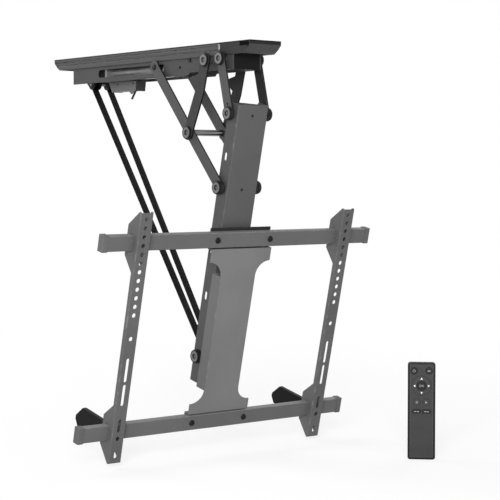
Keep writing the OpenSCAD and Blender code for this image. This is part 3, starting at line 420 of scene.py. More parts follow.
def finish(name, group, colour, takes, depth, metallic=0.0, dust=0.0, **sockets):
    """A material with one shared effect, its bump, dust and the shader's own plain values."""
    if name in bpy.data.materials:
        return bpy.data.materials[name]
    made = bpy.data.materials.new(name)
    tree = empty_tree(made)
    effect = add(tree, "ShaderNodeGroup", node_tree=group)
    feed(tree, effect.inputs["Colour"], (*colour, 1.0))
    for label, value in takes.items():
        effect.inputs[label].default_value = value
    shader = add(tree, "ShaderNodeBsdfPrincipled")
    tone = effect.outputs["Colour"]
    if dust:
        settled = add(tree, "ShaderNodeGroup", node_tree=dust_group())
        settled.inputs["Amount"].default_value = dust
        tone = blended(tree, settled.outputs["Mask"], tone, (*grey(150, 0.02), 1.0))
    feed(tree, shader.inputs["Base Color"], tone)
    feed(tree, shader.inputs["Roughness"], effect.outputs["Roughness"])
    shader.inputs["Metallic"].default_value = metallic
    bump = result(
        tree, "ShaderNodeBump",
        {"Strength": 0.6, "Distance": depth, "Height": effect.outputs["Height"]},
    )
    feed(tree, shader.inputs["Normal"], bump)
    for label, value in sockets.items():
        shader.inputs[label.replace("_", " ")].default_value = value
    add(tree, "ShaderNodeOutputMaterial", (shader.outputs[0],))
    return made


# Heights of the bumps in coats, metals and webbing.
COAT_DEPTH = 0.12 * MM
METAL_DEPTH = 0.04 * MM
WEAVE_DEPTH = 0.25 * MM
# Material names of the coats.
COATS = {
    "powder": "powder_satin_grey", "rail": "powder_satin_rail", "crank": "powder_satin_crank",
    "arm": "powder_satin_arm", "column": "powder_satin_column", "bracket": "powder_satin_bracket",
    "bar": "powder_satin_bar", "plate": "powder_satin_plate", "powder_dark": "powder_satin_dark",
    "saddle": "powder_satin_saddle", "black_coat": "powder_satin_black",
}
# Material name, roughness, brushing and metallic share of the metals.
METALS = {
    "zinc": ("zinc_plate", 0.4, 0.5, 0.7),
    "cap": ("cap_plate", 0.42, 0.4, 0.55),
    "blackened": ("blackened_steel", 0.42, 0.3, 0.6),
    "steel": ("bright_steel", 0.16, 0.25, 1.0),
    "winch": ("winch_steel", 0.35, 0.4, 0.8),
    "cell": ("cell_can", 0.28, 0.8, 0.9),
}
# Material name, roughness, texture scale, bump depth in millimetres and specular level of the plastics.
PLASTICS = {
    "black_plastic": ("black_nylon", 0.5, 1100.0, 0.06, 0.12),
    "bar_end": ("bar_end_plastic", 0.5, 1100.0, 0.06, 0.12),
    "nose": ("front_cap_plastic", 0.34, 1300.0, 0.03, 0.1),
    "cap_plastic": ("case_plastic", 0.42, 1100.0, 0.05, 0.15),
    "window": ("infrared_window", 0.1, 300.0, 0.002, 0.04),
    "remote_case": ("remote_shell", 0.4, 1500.0, 0.03, 0.12),
    "rubber_key": ("silicone_key", 0.6, 2400.0, 0.02, 0.1),
    "thread": ("sewing_thread", 0.7, 2600.0, 0.05, 0.1),
    "mark": ("printed_mark", 0.5, 2600.0, 0.01, 0.2),
    "faint_mark": ("faint_mark", 0.5, 2600.0, 0.01, 0.1),
}


def surface(kind):
    """One of the finishes above, or the webbing, made when it is first asked for."""
    settings = bpy.context.scene.mount_finish
    tone = getattr(settings, kind)
    if kind in COATS:
        return finish(
            COATS[kind], powder_group(), tone, {"Grain": 1.0 / settings.grain}, COAT_DEPTH,
            dust=0.06, Specular_IOR_Level=0.05 if kind == "black_coat" else 0.12,
        )
    if kind in METALS:
        name, rough, brushing, metallic = METALS[kind]
        values = {"Roughness": rough, "Brushing": brushing}
        return finish(name, metal_group(), tone, values, METAL_DEPTH, metallic=metallic)
    if kind in PLASTICS:
        name, rough, texture, depth, level = PLASTICS[kind]
        values = {"Roughness": rough, "Texture": texture}
        return finish(name, moulded_group(), tone, values, depth * MM, Specular_IOR_Level=level)
    values = {"Warp": 2.0, "Weft": 1.6}
    return finish("woven_webbing", weave_group(), tone, values, WEAVE_DEPTH, Specular_IOR_Level=0.08)


# Nodes whose finish isn't the one that their slot is named for.
NODES_OF = {
    "rail": "rail_left rail_right",
    "crank": "crank_arm_left crank_arm_right",
    "arm": "link_arm_left link_arm_right main_arm_left main_arm_right",
    "column": "column",
    "bracket": "bracket_left bracket_right",
    "plate": "spine_plate",
    "saddle": "saddle_upper saddle_lower",
    "black_coat": "front_plate lever_left lever_right",
    "cap": "upper_pivots axle_screws link_screws column_screws strap_pin",
    "blackened": "bar_bolts rail_screws slide_pins",
    "nose": "nose_cap end_block",
    "winch": "winch_shaft",
    "bar_end": "bar_end_caps",
    "remote_case": "key_ring key_left key_right",
}
NODE_SURFACE = {node: kind for kind, nodes in NODES_OF.items() for node in nodes.split()}
SLOT_SURFACE = {"powder_light": "bar"}
SLOT_OF = {row["node"]: row["material_slot"] for row in frame["record"]["subparts"]}


def node_surface(node):
    """The material of a CAD node: its own, or else its slot's."""
    slot = SLOT_OF[node]
    return surface(NODE_SURFACE.get(node, SLOT_SURFACE.get(slot, slot)))


def settle(piece, body, slot, stands_for=()):
    """Puts a finished piece on its body and gives it its slot."""
    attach(piece, body)
    if stands_for:
        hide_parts(*stands_for)
    return piece


def new_object(name, data):
    made = bpy.data.objects.new(name, data)
    bpy.context.scene.collection.objects.link(made)
    return made


def mesh_from(work, name):
    """A mesh from a bmesh, which is used up."""
    mesh = bpy.data.meshes.new(name)
    work.to_mesh(mesh)
    work.free()
    return mesh


def piece_from(work, name, material):
    """A new object from a bmesh, with its material."""
    mesh = mesh_from(work, name)
    mesh.materials.append(material)
    return new_object(name, mesh)


def baked(piece):
    """Turns a piece's modifiers into its plain mesh."""
    seen = piece.evaluated_get(bpy.context.evaluated_depsgraph_get())
    mesh = bpy.data.meshes.new_from_object(seen)
    mesh.name = piece.name
    piece.modifiers.clear()
    piece.data = mesh
    return piece


def smooth(piece, angle):
    """Smooth shading with sharp edges above an angle in degrees."""
    for face in piece.data.polygons:
        face.use_smooth = True
    piece.data.set_sharp_from_angle(angle=radians(angle))


def shell_of(node):
    """A CAD node's surface as a joined bmesh with its flat faces whole."""
    work = bmesh.new()
    work.from_mesh(frame["nodes"][node].data)
    bmesh.ops.remove_doubles(work, verts=work.verts, dist=2e-6)
    bmesh.ops.dissolve_limit(work, angle_limit=radians(0.5), verts=work.verts, edges=work.edges)
    work.faces.layers.float.new("edge")
    return work


def round_edges(work, width, segments, wanted=None):
    """Rounds the edges of a bmesh and marks the new faces as edge faces."""
    edges = [
        e for e in work.edges
        if len(e.link_faces) == 2 and e.calc_face_angle(0) > radians(ROUNDED_OVER)
        and (wanted is None or wanted(e))
    ]
    made = bmesh.ops.bevel(
        work, geom=edges, offset=width, offset_type="OFFSET", segments=segments, profile=0.5,
        affect="EDGES", clamp_overlap=False, loop_slide=True,
    )
    layer = work.faces.layers.float["edge"]
    for face in made["faces"]:
        face[layer] = 1.0


def form(node, rounds, shaded=None):
    """A rounded copy of a CAD node that stands for it; rounds are (width, segments, wanted)."""
    work = shell_of(node)
    for width, segments, wanted in rounds:
        round_edges(work, width, segments, wanted)
    if shaded:
        shaded(work)
    bmesh.ops.triangulate(work, faces=[f for f in work.faces if len(f.verts) > 4])
    made = piece_from(work, node + "_formed", node_surface(node))
    smooth(made, SHARP_OVER)
    weigher = made.modifiers.new("Weighted normals", "WEIGHTED_NORMAL")
    weigher.keep_sharp = True
    return settle(baked(made), frame["nodes"][node]["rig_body"], SLOT_OF[node], (node,))


def forms(nodes, width, segments, shaded=None):
    """Rounded copies of several nodes with the same edges, named in one line."""
    for node in nodes.split():
        form(node, [(width, segments, None)], shaded)


def geometry_piece(name, carrier, group, sizes, kind, body, slot):
    """Runs a geometry group on a carrier mesh, with sizes in millimetres, and keeps a plain piece."""
    made = new_object(name, carrier)
    runner = made.modifiers.new("Repeat", "NODES")
    runner.node_group = group
    sockets = [s for s in group.interface.items_tree if s.item_type == "SOCKET" and s.in_out == "INPUT"]
    for socket, size in zip(sockets[1:-1], sizes, strict=True):
        runner[socket.identifier] = size * MM
    runner[sockets[-1].identifier] = surface(kind)
    made.data.update()
    bpy.context.view_layer.update()
    return settle(baked(made), body, slot)


def spread_piece(name, stands, group, sizes, kind, body, slot=None):
    """Small forms on points; each stand is a place, the way it faces and its cross direction."""
    mesh = bpy.data.meshes.new(name)
    mesh.from_pydata([tuple(stand[0]) for stand in stands], [], [])
    for index, label in ((1, "facing"), (2, "across")):
        held = mesh.attributes.new(label, "FLOAT_VECTOR", "POINT")
        for item, stand in zip(held.data, stands):
            item.vector = tuple(stand[index])
    return geometry_piece(name, mesh, group, sizes, kind, body, slot or kind)


def joined(tree, x, y, z):
    return result(tree, "ShaderNodeCombineXYZ", (x, y, z))


def direction(tree, name):
    return result(tree, "GeometryNodeInputNamedAttribute", {"Name": name}, data_type="FLOAT_VECTOR")


def realized(tree, geometry, takes):
    """Realizes the instances of a geometry and gives it its material."""
    real = result(tree, "GeometryNodeRealizeInstances", {"Geometry": geometry})
    return result(tree, "GeometryNodeSetMaterial", {"Geometry": real, "Material": takes["Finish"]})


def instanced(tree, instance, takes):
    """Stands an instance on every point of the carrier, turned to the point's directions."""
    aim = result(
        tree, "FunctionNodeAxesToRotation",
        {"Primary Axis": direction(tree, "facing"), "Secondary Axis": direction(tree, "across")},
        primary_axis="Z", secondary_axis="X",
    )
    spread = result(
        tree, "GeometryNodeInstanceOnPoints",
        {"Points": takes["Geometry"], "Instance": instance, "Rotation": aim},
    )
    return realized(tree, spread, takes)


@form_group("Screws on points", Radius=3, Height=2)
def screw_tree(tree, takes, gives):
    """Pan-head screws with a crossed recess on every point of the carrier."""
    radius, height = takes["Radius"], takes["Height"]
    skirt = result(
        tree, "GeometryNodeMeshCylinder",
        {"Vertices": 24, "Radius": radius, "Depth": times(tree, height, 2.0)},
    )
    crown = result(
        tree, "GeometryNodeMeshCone",
        {"Vertices": 24, "Radius Top": times(tree, radius, 0.72),
         "Radius Bottom": times(tree, radius, 0.99), "Depth": times(tree, height, 0.4)},
    )
    lift = joined(tree, 0.0, 0.0, height)
    crown = result(tree, "GeometryNodeTransform", {"Geometry": crown, "Translation": lift})
    head = add(tree, "GeometryNodeMeshBoolean", operation="UNION", solver="EXACT")
    for part in (crown, skirt):
        feed(tree, head.inputs["Mesh 2"], part)
    recess = add(tree, "GeometryNodeMeshBoolean", operation="DIFFERENCE", solver="EXACT")
    feed(tree, recess.inputs["Mesh 1"], head.outputs["Mesh"])
    size = joined(tree, times(tree, radius, 1.15), times(tree, radius, 0.27), height)
    lift = joined(tree, 0.0, 0.0, times(tree, height, 1.3))
    for turn in (0.0, pi / 2):
        bar = result(tree, "GeometryNodeMeshCube", {"Size": size})
        placing = {"Geometry": bar, "Rotation": (0, 0, turn), "Translation": lift}
        feed(tree, recess.inputs["Mesh 2"], result(tree, "GeometryNodeTransform", placing))
    feed(tree, gives["Geometry"], instanced(tree, recess.outputs["Mesh"], takes))


@form_group("Ribs on points", Length=10, Width=1, Height=0.5)
def rib_tree(tree, takes, gives):
    """Rounded ribs or stitches on every point of the carrier, long along its cross direction."""
    ball = result(tree, "GeometryNodeMeshUVSphere", {"Segments": 12, "Rings": 8, "Radius": 0.5})
    at = result(tree, "GeometryNodeInputPosition")
    place = add(tree, "ShaderNodeSeparateXYZ", (at,)).outputs
    spare = maths(tree, "SUBTRACT", takes["Length"], takes["Width"])
    shift = times(tree, maths(tree, "SIGN", place[0]), spare, 0.5)
    x = plus(tree, times(tree, place[0], takes["Width"]), shift)
    y = times(tree, place[1], takes["Width"])
    z = times(tree, place[2], times(tree, takes["Height"], 2.0))
    moved = {"Geometry": ball, "Position": joined(tree, x, y, z)}
    shaped = result(tree, "GeometryNodeSetPosition", moved)
    feed(tree, gives["Geometry"], instanced(tree, shaped, takes))


@form_group("Wound strap", Width=16, Thickness=0.9)
def coil_tree(tree, takes, gives):
    """Flat strap wound in a spiral: a profile swept along the carrier's edges."""
    path = result(tree, "GeometryNodeMeshToCurve", {"Mesh": takes["Geometry"]})
    upright = result(
        tree, "GeometryNodeSetCurveNormal", {"Curve": path, "Normal": (1.0, 0.0, 0.0)}, mode="FREE",
    )
    profile = result(
        tree, "GeometryNodeCurvePrimitiveQuadrilateral",
        {"Width": takes["Thickness"], "Height": takes["Width"]}, mode="RECTANGLE",
    )
    soft = result(
        tree, "GeometryNodeFilletCurve",
        {"Curve": profile, "Radius": times(tree, takes["Thickness"], 0.45), "Count": 3}, mode="POLY",
    )
    swept = result(
        tree, "GeometryNodeCurveToMesh", {"Curve": upright, "Profile Curve": soft, "Fill Caps": True},
    )
    feed(tree, gives["Geometry"], realized(tree, swept, takes))


# Places on the object, from the CAD model.
COLUMN_Y = -308 * MM
COLUMN_Z = -120 * MM
LEAN = radians(13.2)
COLUMN_OUT = (0, -cos(LEAN), -sin(LEAN))
COLUMN_UP = Vector((0, -sin(LEAN), cos(LEAN)))
BAR_TOPS = {"upper_bar": 241 * MM, "lower_bar": 608 * MM}
BAR_H = 30 * MM
BAR_FRONT = -30 * MM
BAR_BACK = -16 * MM
PLATE_HALF = 42 * MM
PLATE_FACE = -27.5 * MM
CEILING_LINE = -2.4 * MM
SEAM_Z = -9 * MM
SEAM_INSET = 1.5 * MM
COLLAR = 19 * MM
DRIVE_Z = -38 * MM
WINCH_Y = 207.5 * MM
WINCH_Z = -58.4 * MM
SPOOL_X = 19 * MM
ROLL_R = 6.0 * MM
STRAP_PIN = (15.5 * MM, 503 * MM)
STRAP_X = 9 * MM
COLUMN_PLUGS = (21 * MM, 165 * MM)
RAIL_PLUG_YZ = (-118 * MM, -40.6 * MM)
MOTOR_SCREWS_XZ = (26 * MM, 12 * MM)
GEARBOX_SCREWS_XZ = (17 * MM, 9 * MM)
GEARBOX_REAR = 196 * MM
CASE_SCREWS_Y = (75 * MM, 132 * MM)
CASE_SCREWS_Z = -62 * MM
VENTS = [(y * MM, -69 * MM) for y in range(92, 124, 4)]
DOOR_RIBS = [z * MM for z in range(62, 80, 3)]
REMOTE_SPOT = Vector((264, -494, -800)) * MM
REMOTE_TURN = Matrix.Rotation(radians(-45), 3, "Z")
REMOTE_HALF = 26.5 * MM
REMOTE_H = 188 * MM
REMOTE_D = 16 * MM
REMOTE_ROUND = 5.1 * MM

# Bends in degrees over which an edge is rounded, or shaded sharp on rounded pieces and on straps.
ROUNDED_OVER = 30
SHARP_OVER = 38
STRAP_SHARP_OVER = 60

# Roundings of small pieces.
CAP_EDGE = 0.45 * MM
COLLAR_EDGE = 0.4 * MM
FINE_EDGE = 0.3 * MM
SPOOL_EDGE = 0.2 * MM
END_EDGE = 0.5 * MM
KEY_EDGE = 0.7 * MM
FACE_EDGE = 1.3 * MM
DOOR_EDGE = 0.25 * MM
SEAM_EDGE = 0.15 * MM

# Painted shade and painted highlights on faces, from 1 (darkest) to -1 (lightest).
CUT_EDGE_PAINTED_SHADE = 0.85
INNER_FACE_PAINTED_SHADE = 0.65
BAR_TOP_PAINTED_HIGHLIGHT = -0.45
BAR_FOOT_PAINTED_SHADE = 0.5
SIDE_PAINTED_SHADE = 0.2
RIM_PAINTED_SHADOW = 0.75
CEILING_LINE_PAINTED_SHADOW = 0.9
SLANTED_PAINTED_HIGHLIGHT = -1.0
UPRIGHT_PAINTED_SHADE = 0.3
SOCKET_PAINTED_SHADE = 1.0
RING_PAINTED_SHADE = 0.9
# Inset and tone of the remote control's painted highlight line and of its painted shade border.
BORDER_PAINTED_LIGHT = ((5.4 * MM, -0.3), (4.0 * MM, 0.75))


def column_place(n, s):
    """A place behind the column's face and down it, as y and z."""
    return COLUMN_Y + s * sin(LEAN) + n * cos(LEAN), COLUMN_Z - s * cos(LEAN) + n * sin(LEAN)


def column_terms(point):
    """A point's distance behind the column's face and down it."""
    y, z = point.y - COLUMN_Y, point.z - COLUMN_Z
    return y * cos(LEAN) + z * sin(LEAN), y * sin(LEAN) - z * cos(LEAN)


def remote_terms(point):
    """A point in the remote control's own directions: across, back and up."""
    return REMOTE_TURN.inverted() @ (point - REMOTE_SPOT)


def on_remote(x, y, z):
    return REMOTE_SPOT + REMOTE_TURN @ Vector((x, y, z))


def near(value, target, room=0.05 * MM):
    return abs(value - target) < room


def both_ends(test):
    """An edge test that holds when both ends of the edge pass."""
    return lambda edge: all(test(v.co) for v in edge.verts)


def fold_of(half, middle, depth):
    """Test for the two folds of a channel, at its half width and its face's depth."""
    return both_ends(lambda p: near(abs(p.x - middle), half) and near(column_terms(p)[0], depth))


def bar_edges(top):
    """Test for the four long edges of a bar whose upper side lies at a place down the column."""
    def corner(p):
        n, s = column_terms(p)
        return (near(n, BAR_FRONT) or near(n, BAR_BACK)) and (near(s, top) or near(s, top + BAR_H))

    def test(edge):
        return both_ends(corner)(edge) and abs(edge.verts[0].co.x - edge.verts[1].co.x) > 0.1
    return test


def remote_rim(level):
    """Test for the edges round the remote control's front or back."""
    def test(p):
        at = remote_terms(p)
        side = near(abs(at.x), REMOTE_HALF) or near(at.z, 0) or near(at.z, REMOTE_H)
        low = at.z < REMOTE_ROUND or at.z > REMOTE_H - REMOTE_ROUND
        corner = low and abs(at.x) > REMOTE_HALF - REMOTE_ROUND
        return near(at.y, level) and (side or corner)
    return both_ends(test)


def cut_through(work, place, way):
    """Cuts all faces where a plane crosses them."""
    bmesh.ops.bisect_plane(
        work, geom=work.verts[:] + work.edges[:] + work.faces[:], plane_co=place, plane_no=way,
    )


def shade_layer(work):
    """The tone mask of a bmesh's faces: 0 plain, up to 1 darker, down to -1 lighter."""
    layers = work.faces.layers.float
    return layers.get("shade") or layers.new("shade")


def shade_faces(work, tone_of):
    """Gives every face the tone that a rule has for it, and leaves it where the rule has none."""
    layer = shade_layer(work)
    for face in work.faces:
        tone = tone_of(face)
        if tone is not None:
            face[layer] = tone


def split_collar(work):
    """Cuts the gearbox's faces where the motor's plated collar ends."""
    cut_through(work, (0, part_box("gearbox")[0].y + COLLAR, 0), Y_AXIS)


def shade_cut_edges(work):
    """Darkens the cut edges of the arms, which are only thinly coated."""
    shade_faces(work, lambda face: CUT_EDGE_PAINTED_SHADE if abs(face.normal.x) < 0.5 else None)


def shade_inner_face(work):
    """Darkens the right link arm's inner face, which lies in the dark between the arms."""
    shade_cut_edges(work)
    shade_faces(work, lambda face: INNER_FACE_PAINTED_SHADE if face.normal.x < -0.5 else None)


def shade_bar(work):
    """Makes a bar's worn upper edge lighter and its lower edge darker than its face."""
    def tone_of(face):
        rise = face.normal.dot(COLUMN_UP)
        if abs(rise) > 0.4:
            return BAR_TOP_PAINTED_HIGHLIGHT if rise > 0 else BAR_FOOT_PAINTED_SHADE
        return None
    shade_faces(work, tone_of)


def shade_sides(work):
    """Makes bent sides a little darker than the face between them."""
    shade_faces(work, lambda face: SIDE_PAINTED_SHADE if abs(face.normal.x) > 0.8 else None)


def shade_rim(work):
    """Makes the upper saddle's rim above its bar a dark line."""
    top = BAR_TOPS["upper_bar"]
    cut_through(work, (0, *column_place(0, top)), -COLUMN_UP)

    def tone_of(face):
        return RIM_PAINTED_SHADOW if column_terms(face.calc_center_median())[1] < top else None
    shade_faces(work, tone_of)


def shade_top_line(work):
    """A dark line where the tray and its cap meet the ceiling."""
    cut_through(work, (0, 0, CEILING_LINE), Z_AXIS)

    def tone_of(face):
        high = face.calc_center_median().z > CEILING_LINE + 0.1 * MM
        return CEILING_LINE_PAINTED_SHADOW if high and abs(face.normal.z) < 0.9 else None
    shade_faces(work, tone_of)


def shade_facets(work):
    """Makes the front cap's slanted facets lighter than its upright ones."""
    def tone_of(face):
        if face.normal.y < -0.3:
            return SLANTED_PAINTED_HIGHLIGHT if face.normal.z < -0.3 else UPRIGHT_PAINTED_SHADE
        return None
    shade_faces(work, tone_of)
    shade_top_line(work)


def border_front(work):
    """A dark border and a thin pale line inside it, round the remote control's face."""
    for inset, shade in BORDER_PAINTED_LIGHT:
        half, top = REMOTE_HALF - inset, REMOTE_H - inset
        for way, ends in ((Vector(X_AXIS), (half, -half)), (Vector(Z_AXIS), (inset, top))):
            for end in ends:
                cut_through(work, on_remote(*(way * end)), REMOTE_TURN @ way)

        def tone_of(face):
            at = remote_terms(face.calc_center_median())
            return shade if abs(at.x) > half or not inset < at.z < top else None
        shade_faces(work, tone_of)


def islands_of(work):
    """Faces of a bmesh, piece by piece."""
    left = set(work.faces)
    while left:
        start = left.pop()
        island, waiting = [start], [start]
        while waiting:
            for vert in waiting.pop().verts:
                for other in vert.link_faces:
                    if other in left:
                        left.discard(other)
                        island.append(other)
                        waiting.append(other)
        yield island


def ring_caps(work):
    """Turns each pivot cap's face into a dark outer ring, a plain ring and a dark ring round its socket."""
    layer = shade_layer(work)
    flush = 0.05 * MM
    cap_depth = 2.4 * MM
    ring_width = 1.7 * MM
    for island in list(islands_of(work)):
        ends = [v.co for f in island for v in f.verts]
        low = Vector([min(p[k] for p in ends) for k in range(3)])
        high = Vector([max(p[k] for p in ends) for k in range(3)])
        middle = (low + high) / 2
        radius = (high.y - low.y) / 2
        for outer in (low.x, high.x):
            flat = []
            for face in island:
                off = abs(face.calc_center_median().x - outer)
                if off >= cap_depth:
                    continue
                reach = max((v.co.yz - middle.yz).length for v in face.verts) / radius
                facing = abs(face.normal.x)
                if facing < 0.95 and (reach > 0.93 or (reach < 0.62 and off > flush)):
                    face[layer] = SOCKET_PAINTED_SHADE
                if facing > 0.98 and off < flush and reach > 0.86:
                    flat.append(face)
            if flat:
                made = bmesh.ops.inset_region(work, faces=flat, thickness=ring_width, use_even_offset=True)
                for face in made["faces"]:
                    face[layer] = RING_PAINTED_SHADE


class MOUNT_OT_sheet_metal(bpy.types.Operator):
    """Powder-coated sheet with rounded folds: tray, rails, plates, arms, column, bars, brackets, levers"""

    bl_idname = "mount.sheet_metal"
    bl_label = "Sheet metal"

    def execute(self, context):
        edges = context.scene.mount_edges
        fold = edges.fold
        cut = (edges.sheet, 2, None)
        form("ceiling_tray", [(2 * edges.sheet, 3, None)], shade_top_line)
        forms("rail_left rail_right front_plate control_bracket winch_bearings", edges.sheet, 2)
        housing = form("gearbox", [cut], split_collar)
        housing.data.materials.append(surface("zinc"))
        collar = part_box("gearbox")[0].y + COLLAR
        for face in housing.data.polygons:
            if face.center.y < collar:
                face.material_index = 1
        # The right link arm gets painted shade on its inner face as well as on its cut edges.
        for side, link_painted_shade in (("left", shade_cut_edges), ("right", shade_inner_face)):
            forms("crank_arm_" + side + " main_arm_" + side, 1.4 * edges.sheet, 3, shade_cut_edges)
            forms("link_arm_" + side, 1.4 * edges.sheet, 3, link_painted_shade)
            bracket = "bracket_" + side
            low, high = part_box(bracket)
            face = min(column_terms(v.co)[0] for v in frame["nodes"][bracket].data.vertices)
            folds = fold_of((high.x - low.x) / 2, (low.x + high.x) / 2, face)
            form(bracket, [(fold, 4, folds), cut])
            forms("lever_" + side, edges.moulded, 3)
        low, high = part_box("column")
        form("column", [(fold, 4, fold_of((high.x - low.x) / 2, 0.0, 0.0)), cut], shade_sides)
        form("spine_plate", [(0.6 * fold, 3, fold_of(PLATE_HALF, 0.0, PLATE_FACE)), cut], shade_sides)
        form("saddle_upper", [cut], shade_rim)
        form("saddle_lower", [cut])
        for bar, top in BAR_TOPS.items():
            form(bar, [(0.8 * fold, 4, bar_edges(top)), cut], shade_bar)
        return {"FINISHED"}


class MOUNT_OT_hardware(bpy.types.Operator):
    """Caps, studs, pins, axle, bolts and collars with small chamfers, and plugs in small holes"""

    bl_idname = "mount.hardware"
    bl_label = "Hardware"

    def execute(self, context):
        forms("upper_pivots axle_screws column_screws link_screws strap_pin", CAP_EDGE, 2, ring_caps)
        forms("cross_axle slide_pins rail_screws winch_shaft bar_bolts", FINE_EDGE, 2)
        forms("upper_collars middle_collars link_collars column_collars", COLLAR_EDGE, 2)
        forms("bar_end_caps", context.scene.mount_edges.moulded, 3)
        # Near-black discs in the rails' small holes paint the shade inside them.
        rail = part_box("rail_right")[1].x
        stands = [((side * rail, *RAIL_PLUG_YZ), (side, 0, 0), Y_AXIS) for side in (-1, 1)]
        spread_piece(
            "rail_hole_shade", stands, rib_tree(), (6.4, 6.4, 0.5), "window", "ceiling_unit", "black_plastic",
        )
        # Dark discs in the column's holes paint the shade inside them.
        stands = [((0, *column_place(0, s)), COLUMN_OUT, X_AXIS) for s in COLUMN_PLUGS]
        spread_piece("column_hole_shade", stands, rib_tree(), (5.6, 5.6, 0.9), "black_plastic", "screen_column")
        return {"FINISHED"}


class MOUNT_OT_cases(bpy.types.Operator):
    """Front cap, infrared window, seam clip, control box, end block, stub and inlet"""

    bl_idname = "mount.cases"
    bl_label = "Cases"

    def execute(self, context):
        moulded = context.scene.mount_edges.moulded
        forms("nose_cap", moulded, 3, shade_facets)
        forms("receiver_window", FINE_EDGE, 2)
        low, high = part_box("nose_cap")
        # A thin light zinc strip at the front cap's seam is a painted highlight.
        stands = [((low.x, high.y - SEAM_INSET, SEAM_Z), (-1, 0, 0), Z_AXIS)]
        spread_piece("seam_highlight", stands, rib_tree(), (12, 4.5, 0.5), "zinc", "ceiling_unit")
        forms("control_box end_block", moulded, 3)
        forms("receiver_stub", END_EDGE, 3)
        inlet = frame["nodes"]["power_inlet"].data
        inlet.materials.clear()
        inlet.materials.append(node_surface("power_inlet"))
        return {"FINISHED"}


class MOUNT_OT_drive(bpy.types.Operator):
    """Motor tube, spools, wound strap, the drive's screws and the control box's vents"""

    bl_idname = "mount.drive"
    bl_label = "Drive"

    def execute(self, context):
        forms("gearmotor", END_EDGE, 2)
        forms("spools", SPOOL_EDGE, 2)
        wind_strap()
        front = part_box("gearmotor")[0].y
        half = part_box("control_box")[1].x

        def corners(half_x, half_z, y, facing):
            return [
                ((x * half_x, y, DRIVE_Z + z * half_z), facing, X_AXIS)
                for x in (-1, 1) for z in (-1, 1)
            ]

        motor = corners(*MOTOR_SCREWS_XZ, front, (0, -1, 0))
        gears = corners(*GEARBOX_SCREWS_XZ, GEARBOX_REAR, Y_AXIS)
        case = [((x * half, y, CASE_SCREWS_Z), (x, 0, 0), Y_AXIS) for x in (-1, 1) for y in CASE_SCREWS_Y]
        for name, stands, sizes in (
            ("motor_flange_screws", motor, (2.6, 1.6)),
            ("gearbox_screws", gears, (2.2, 1.3)),
            ("control_box_screws", case, (1.7, 0.5)),
        ):
            spread_piece(name, stands, screw_tree(), sizes, "blackened", "ceiling_unit", "steel")
        vents = [((side * half, *place), (side, 0, 0), Z_AXIS) for side in (-1, 1) for place in VENTS]
        spread_piece("control_box_vents", vents, rib_tree(), (9, 1.6, 0.35), "cap_plastic", "ceiling_unit")
        return {"FINISHED"}


def wind_strap():
    """The strap left on both spools, wound in a spiral between the flanges."""
    thick, turns, steps = 0.85, 3, 48
    work = bmesh.new()
    for side in (-1, 1):
        last = None
        for i in range(turns * steps + 1):
            a = 2 * pi * i / steps
            r = ROLL_R + thick * MM * (0.5 + i / steps) * 0.95
            at = work.verts.new((side * SPOOL_X, WINCH_Y + r * cos(a), WINCH_Z + r * sin(a)))
            if last:
                work.edges.new((last, at))
            last = at
    mesh = mesh_from(work, "wound_straps")
    geometry_piece("wound_straps", mesh, coil_tree(), (15.4, thick), "webbing", "winch", "webbing")


class StrapPath:
    """Middle line of one strap in its own plane: along it and square to it."""

    width = 16 * MM
    thick = 1.6 * MM
    easing = 26 * MM
    below_spool = 10 * MM
    seam_start = 30 * MM
    seam_end = 5 * MM
    seam_margin = 2.6 * MM

    def __init__(self, side, settings):
        self.settings = settings
        y, z = column_place(*STRAP_PIN)
        self.origin = Vector((side * STRAP_X, y, z))
        way = Vector((side * (SPOOL_X - STRAP_X), WINCH_Y - y, WINCH_Z - z))
        self.length = way.length
        self.along = way.normalized()
        self.square = Vector((0, -way.z, way.y)).normalized()
        self.across = self.along.cross(self.square).normalized()
        self.ride = ROLL_R + 0.05 * MM + self.thick / 2
        self.gather = self.place(self.length - self.below_spool, -self.ride)

    def place(self, u, v, w=0.0):
        return self.origin + self.along * u + self.square * v + self.across * w

    def line(self):
        """Points from the sewn tail's end, round the pin and up to the spool."""
        ride, easing = self.ride, self.easing
        lap = self.thick * 0.98
        points = [(easing + self.settings.tail * (1 - i / 8), lap - ride) for i in range(9)]
        for i in range(1, 12):
            share = i / 12
            ease = share * share * (3 - 2 * share)
            points.append((easing * (1 - share), lap - ride + ease * (2 * ride - lap)))
        for i in range(1, 24):
            a = pi / 2 + pi * i / 24
            points.append((ride * cos(a), ride * sin(a)))
        return points + [(self.length * i / 60, -ride) for i in range(61)]

    def section(self):
        """Corners of the rounded cross section, across and through the strap."""
        r = min(self.settings.edge, self.thick / 2 * 0.98)
        x, y = self.width / 2 - r, self.thick / 2 - r
        points = []
        for start, (cx, cy) in enumerate(((x, y), (-x, y), (-x, -y), (x, -y))):
            for i in range(4):
                a = pi / 2 * (start + i / 3)
                points.append((cx + r * cos(a), cy + r * sin(a)))
        return points

    def squash(self, piece):
        """Lets a piece shorten along the strap while the column folds up."""
        tuple(self.along)
        tuple(self.gather)
        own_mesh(piece)


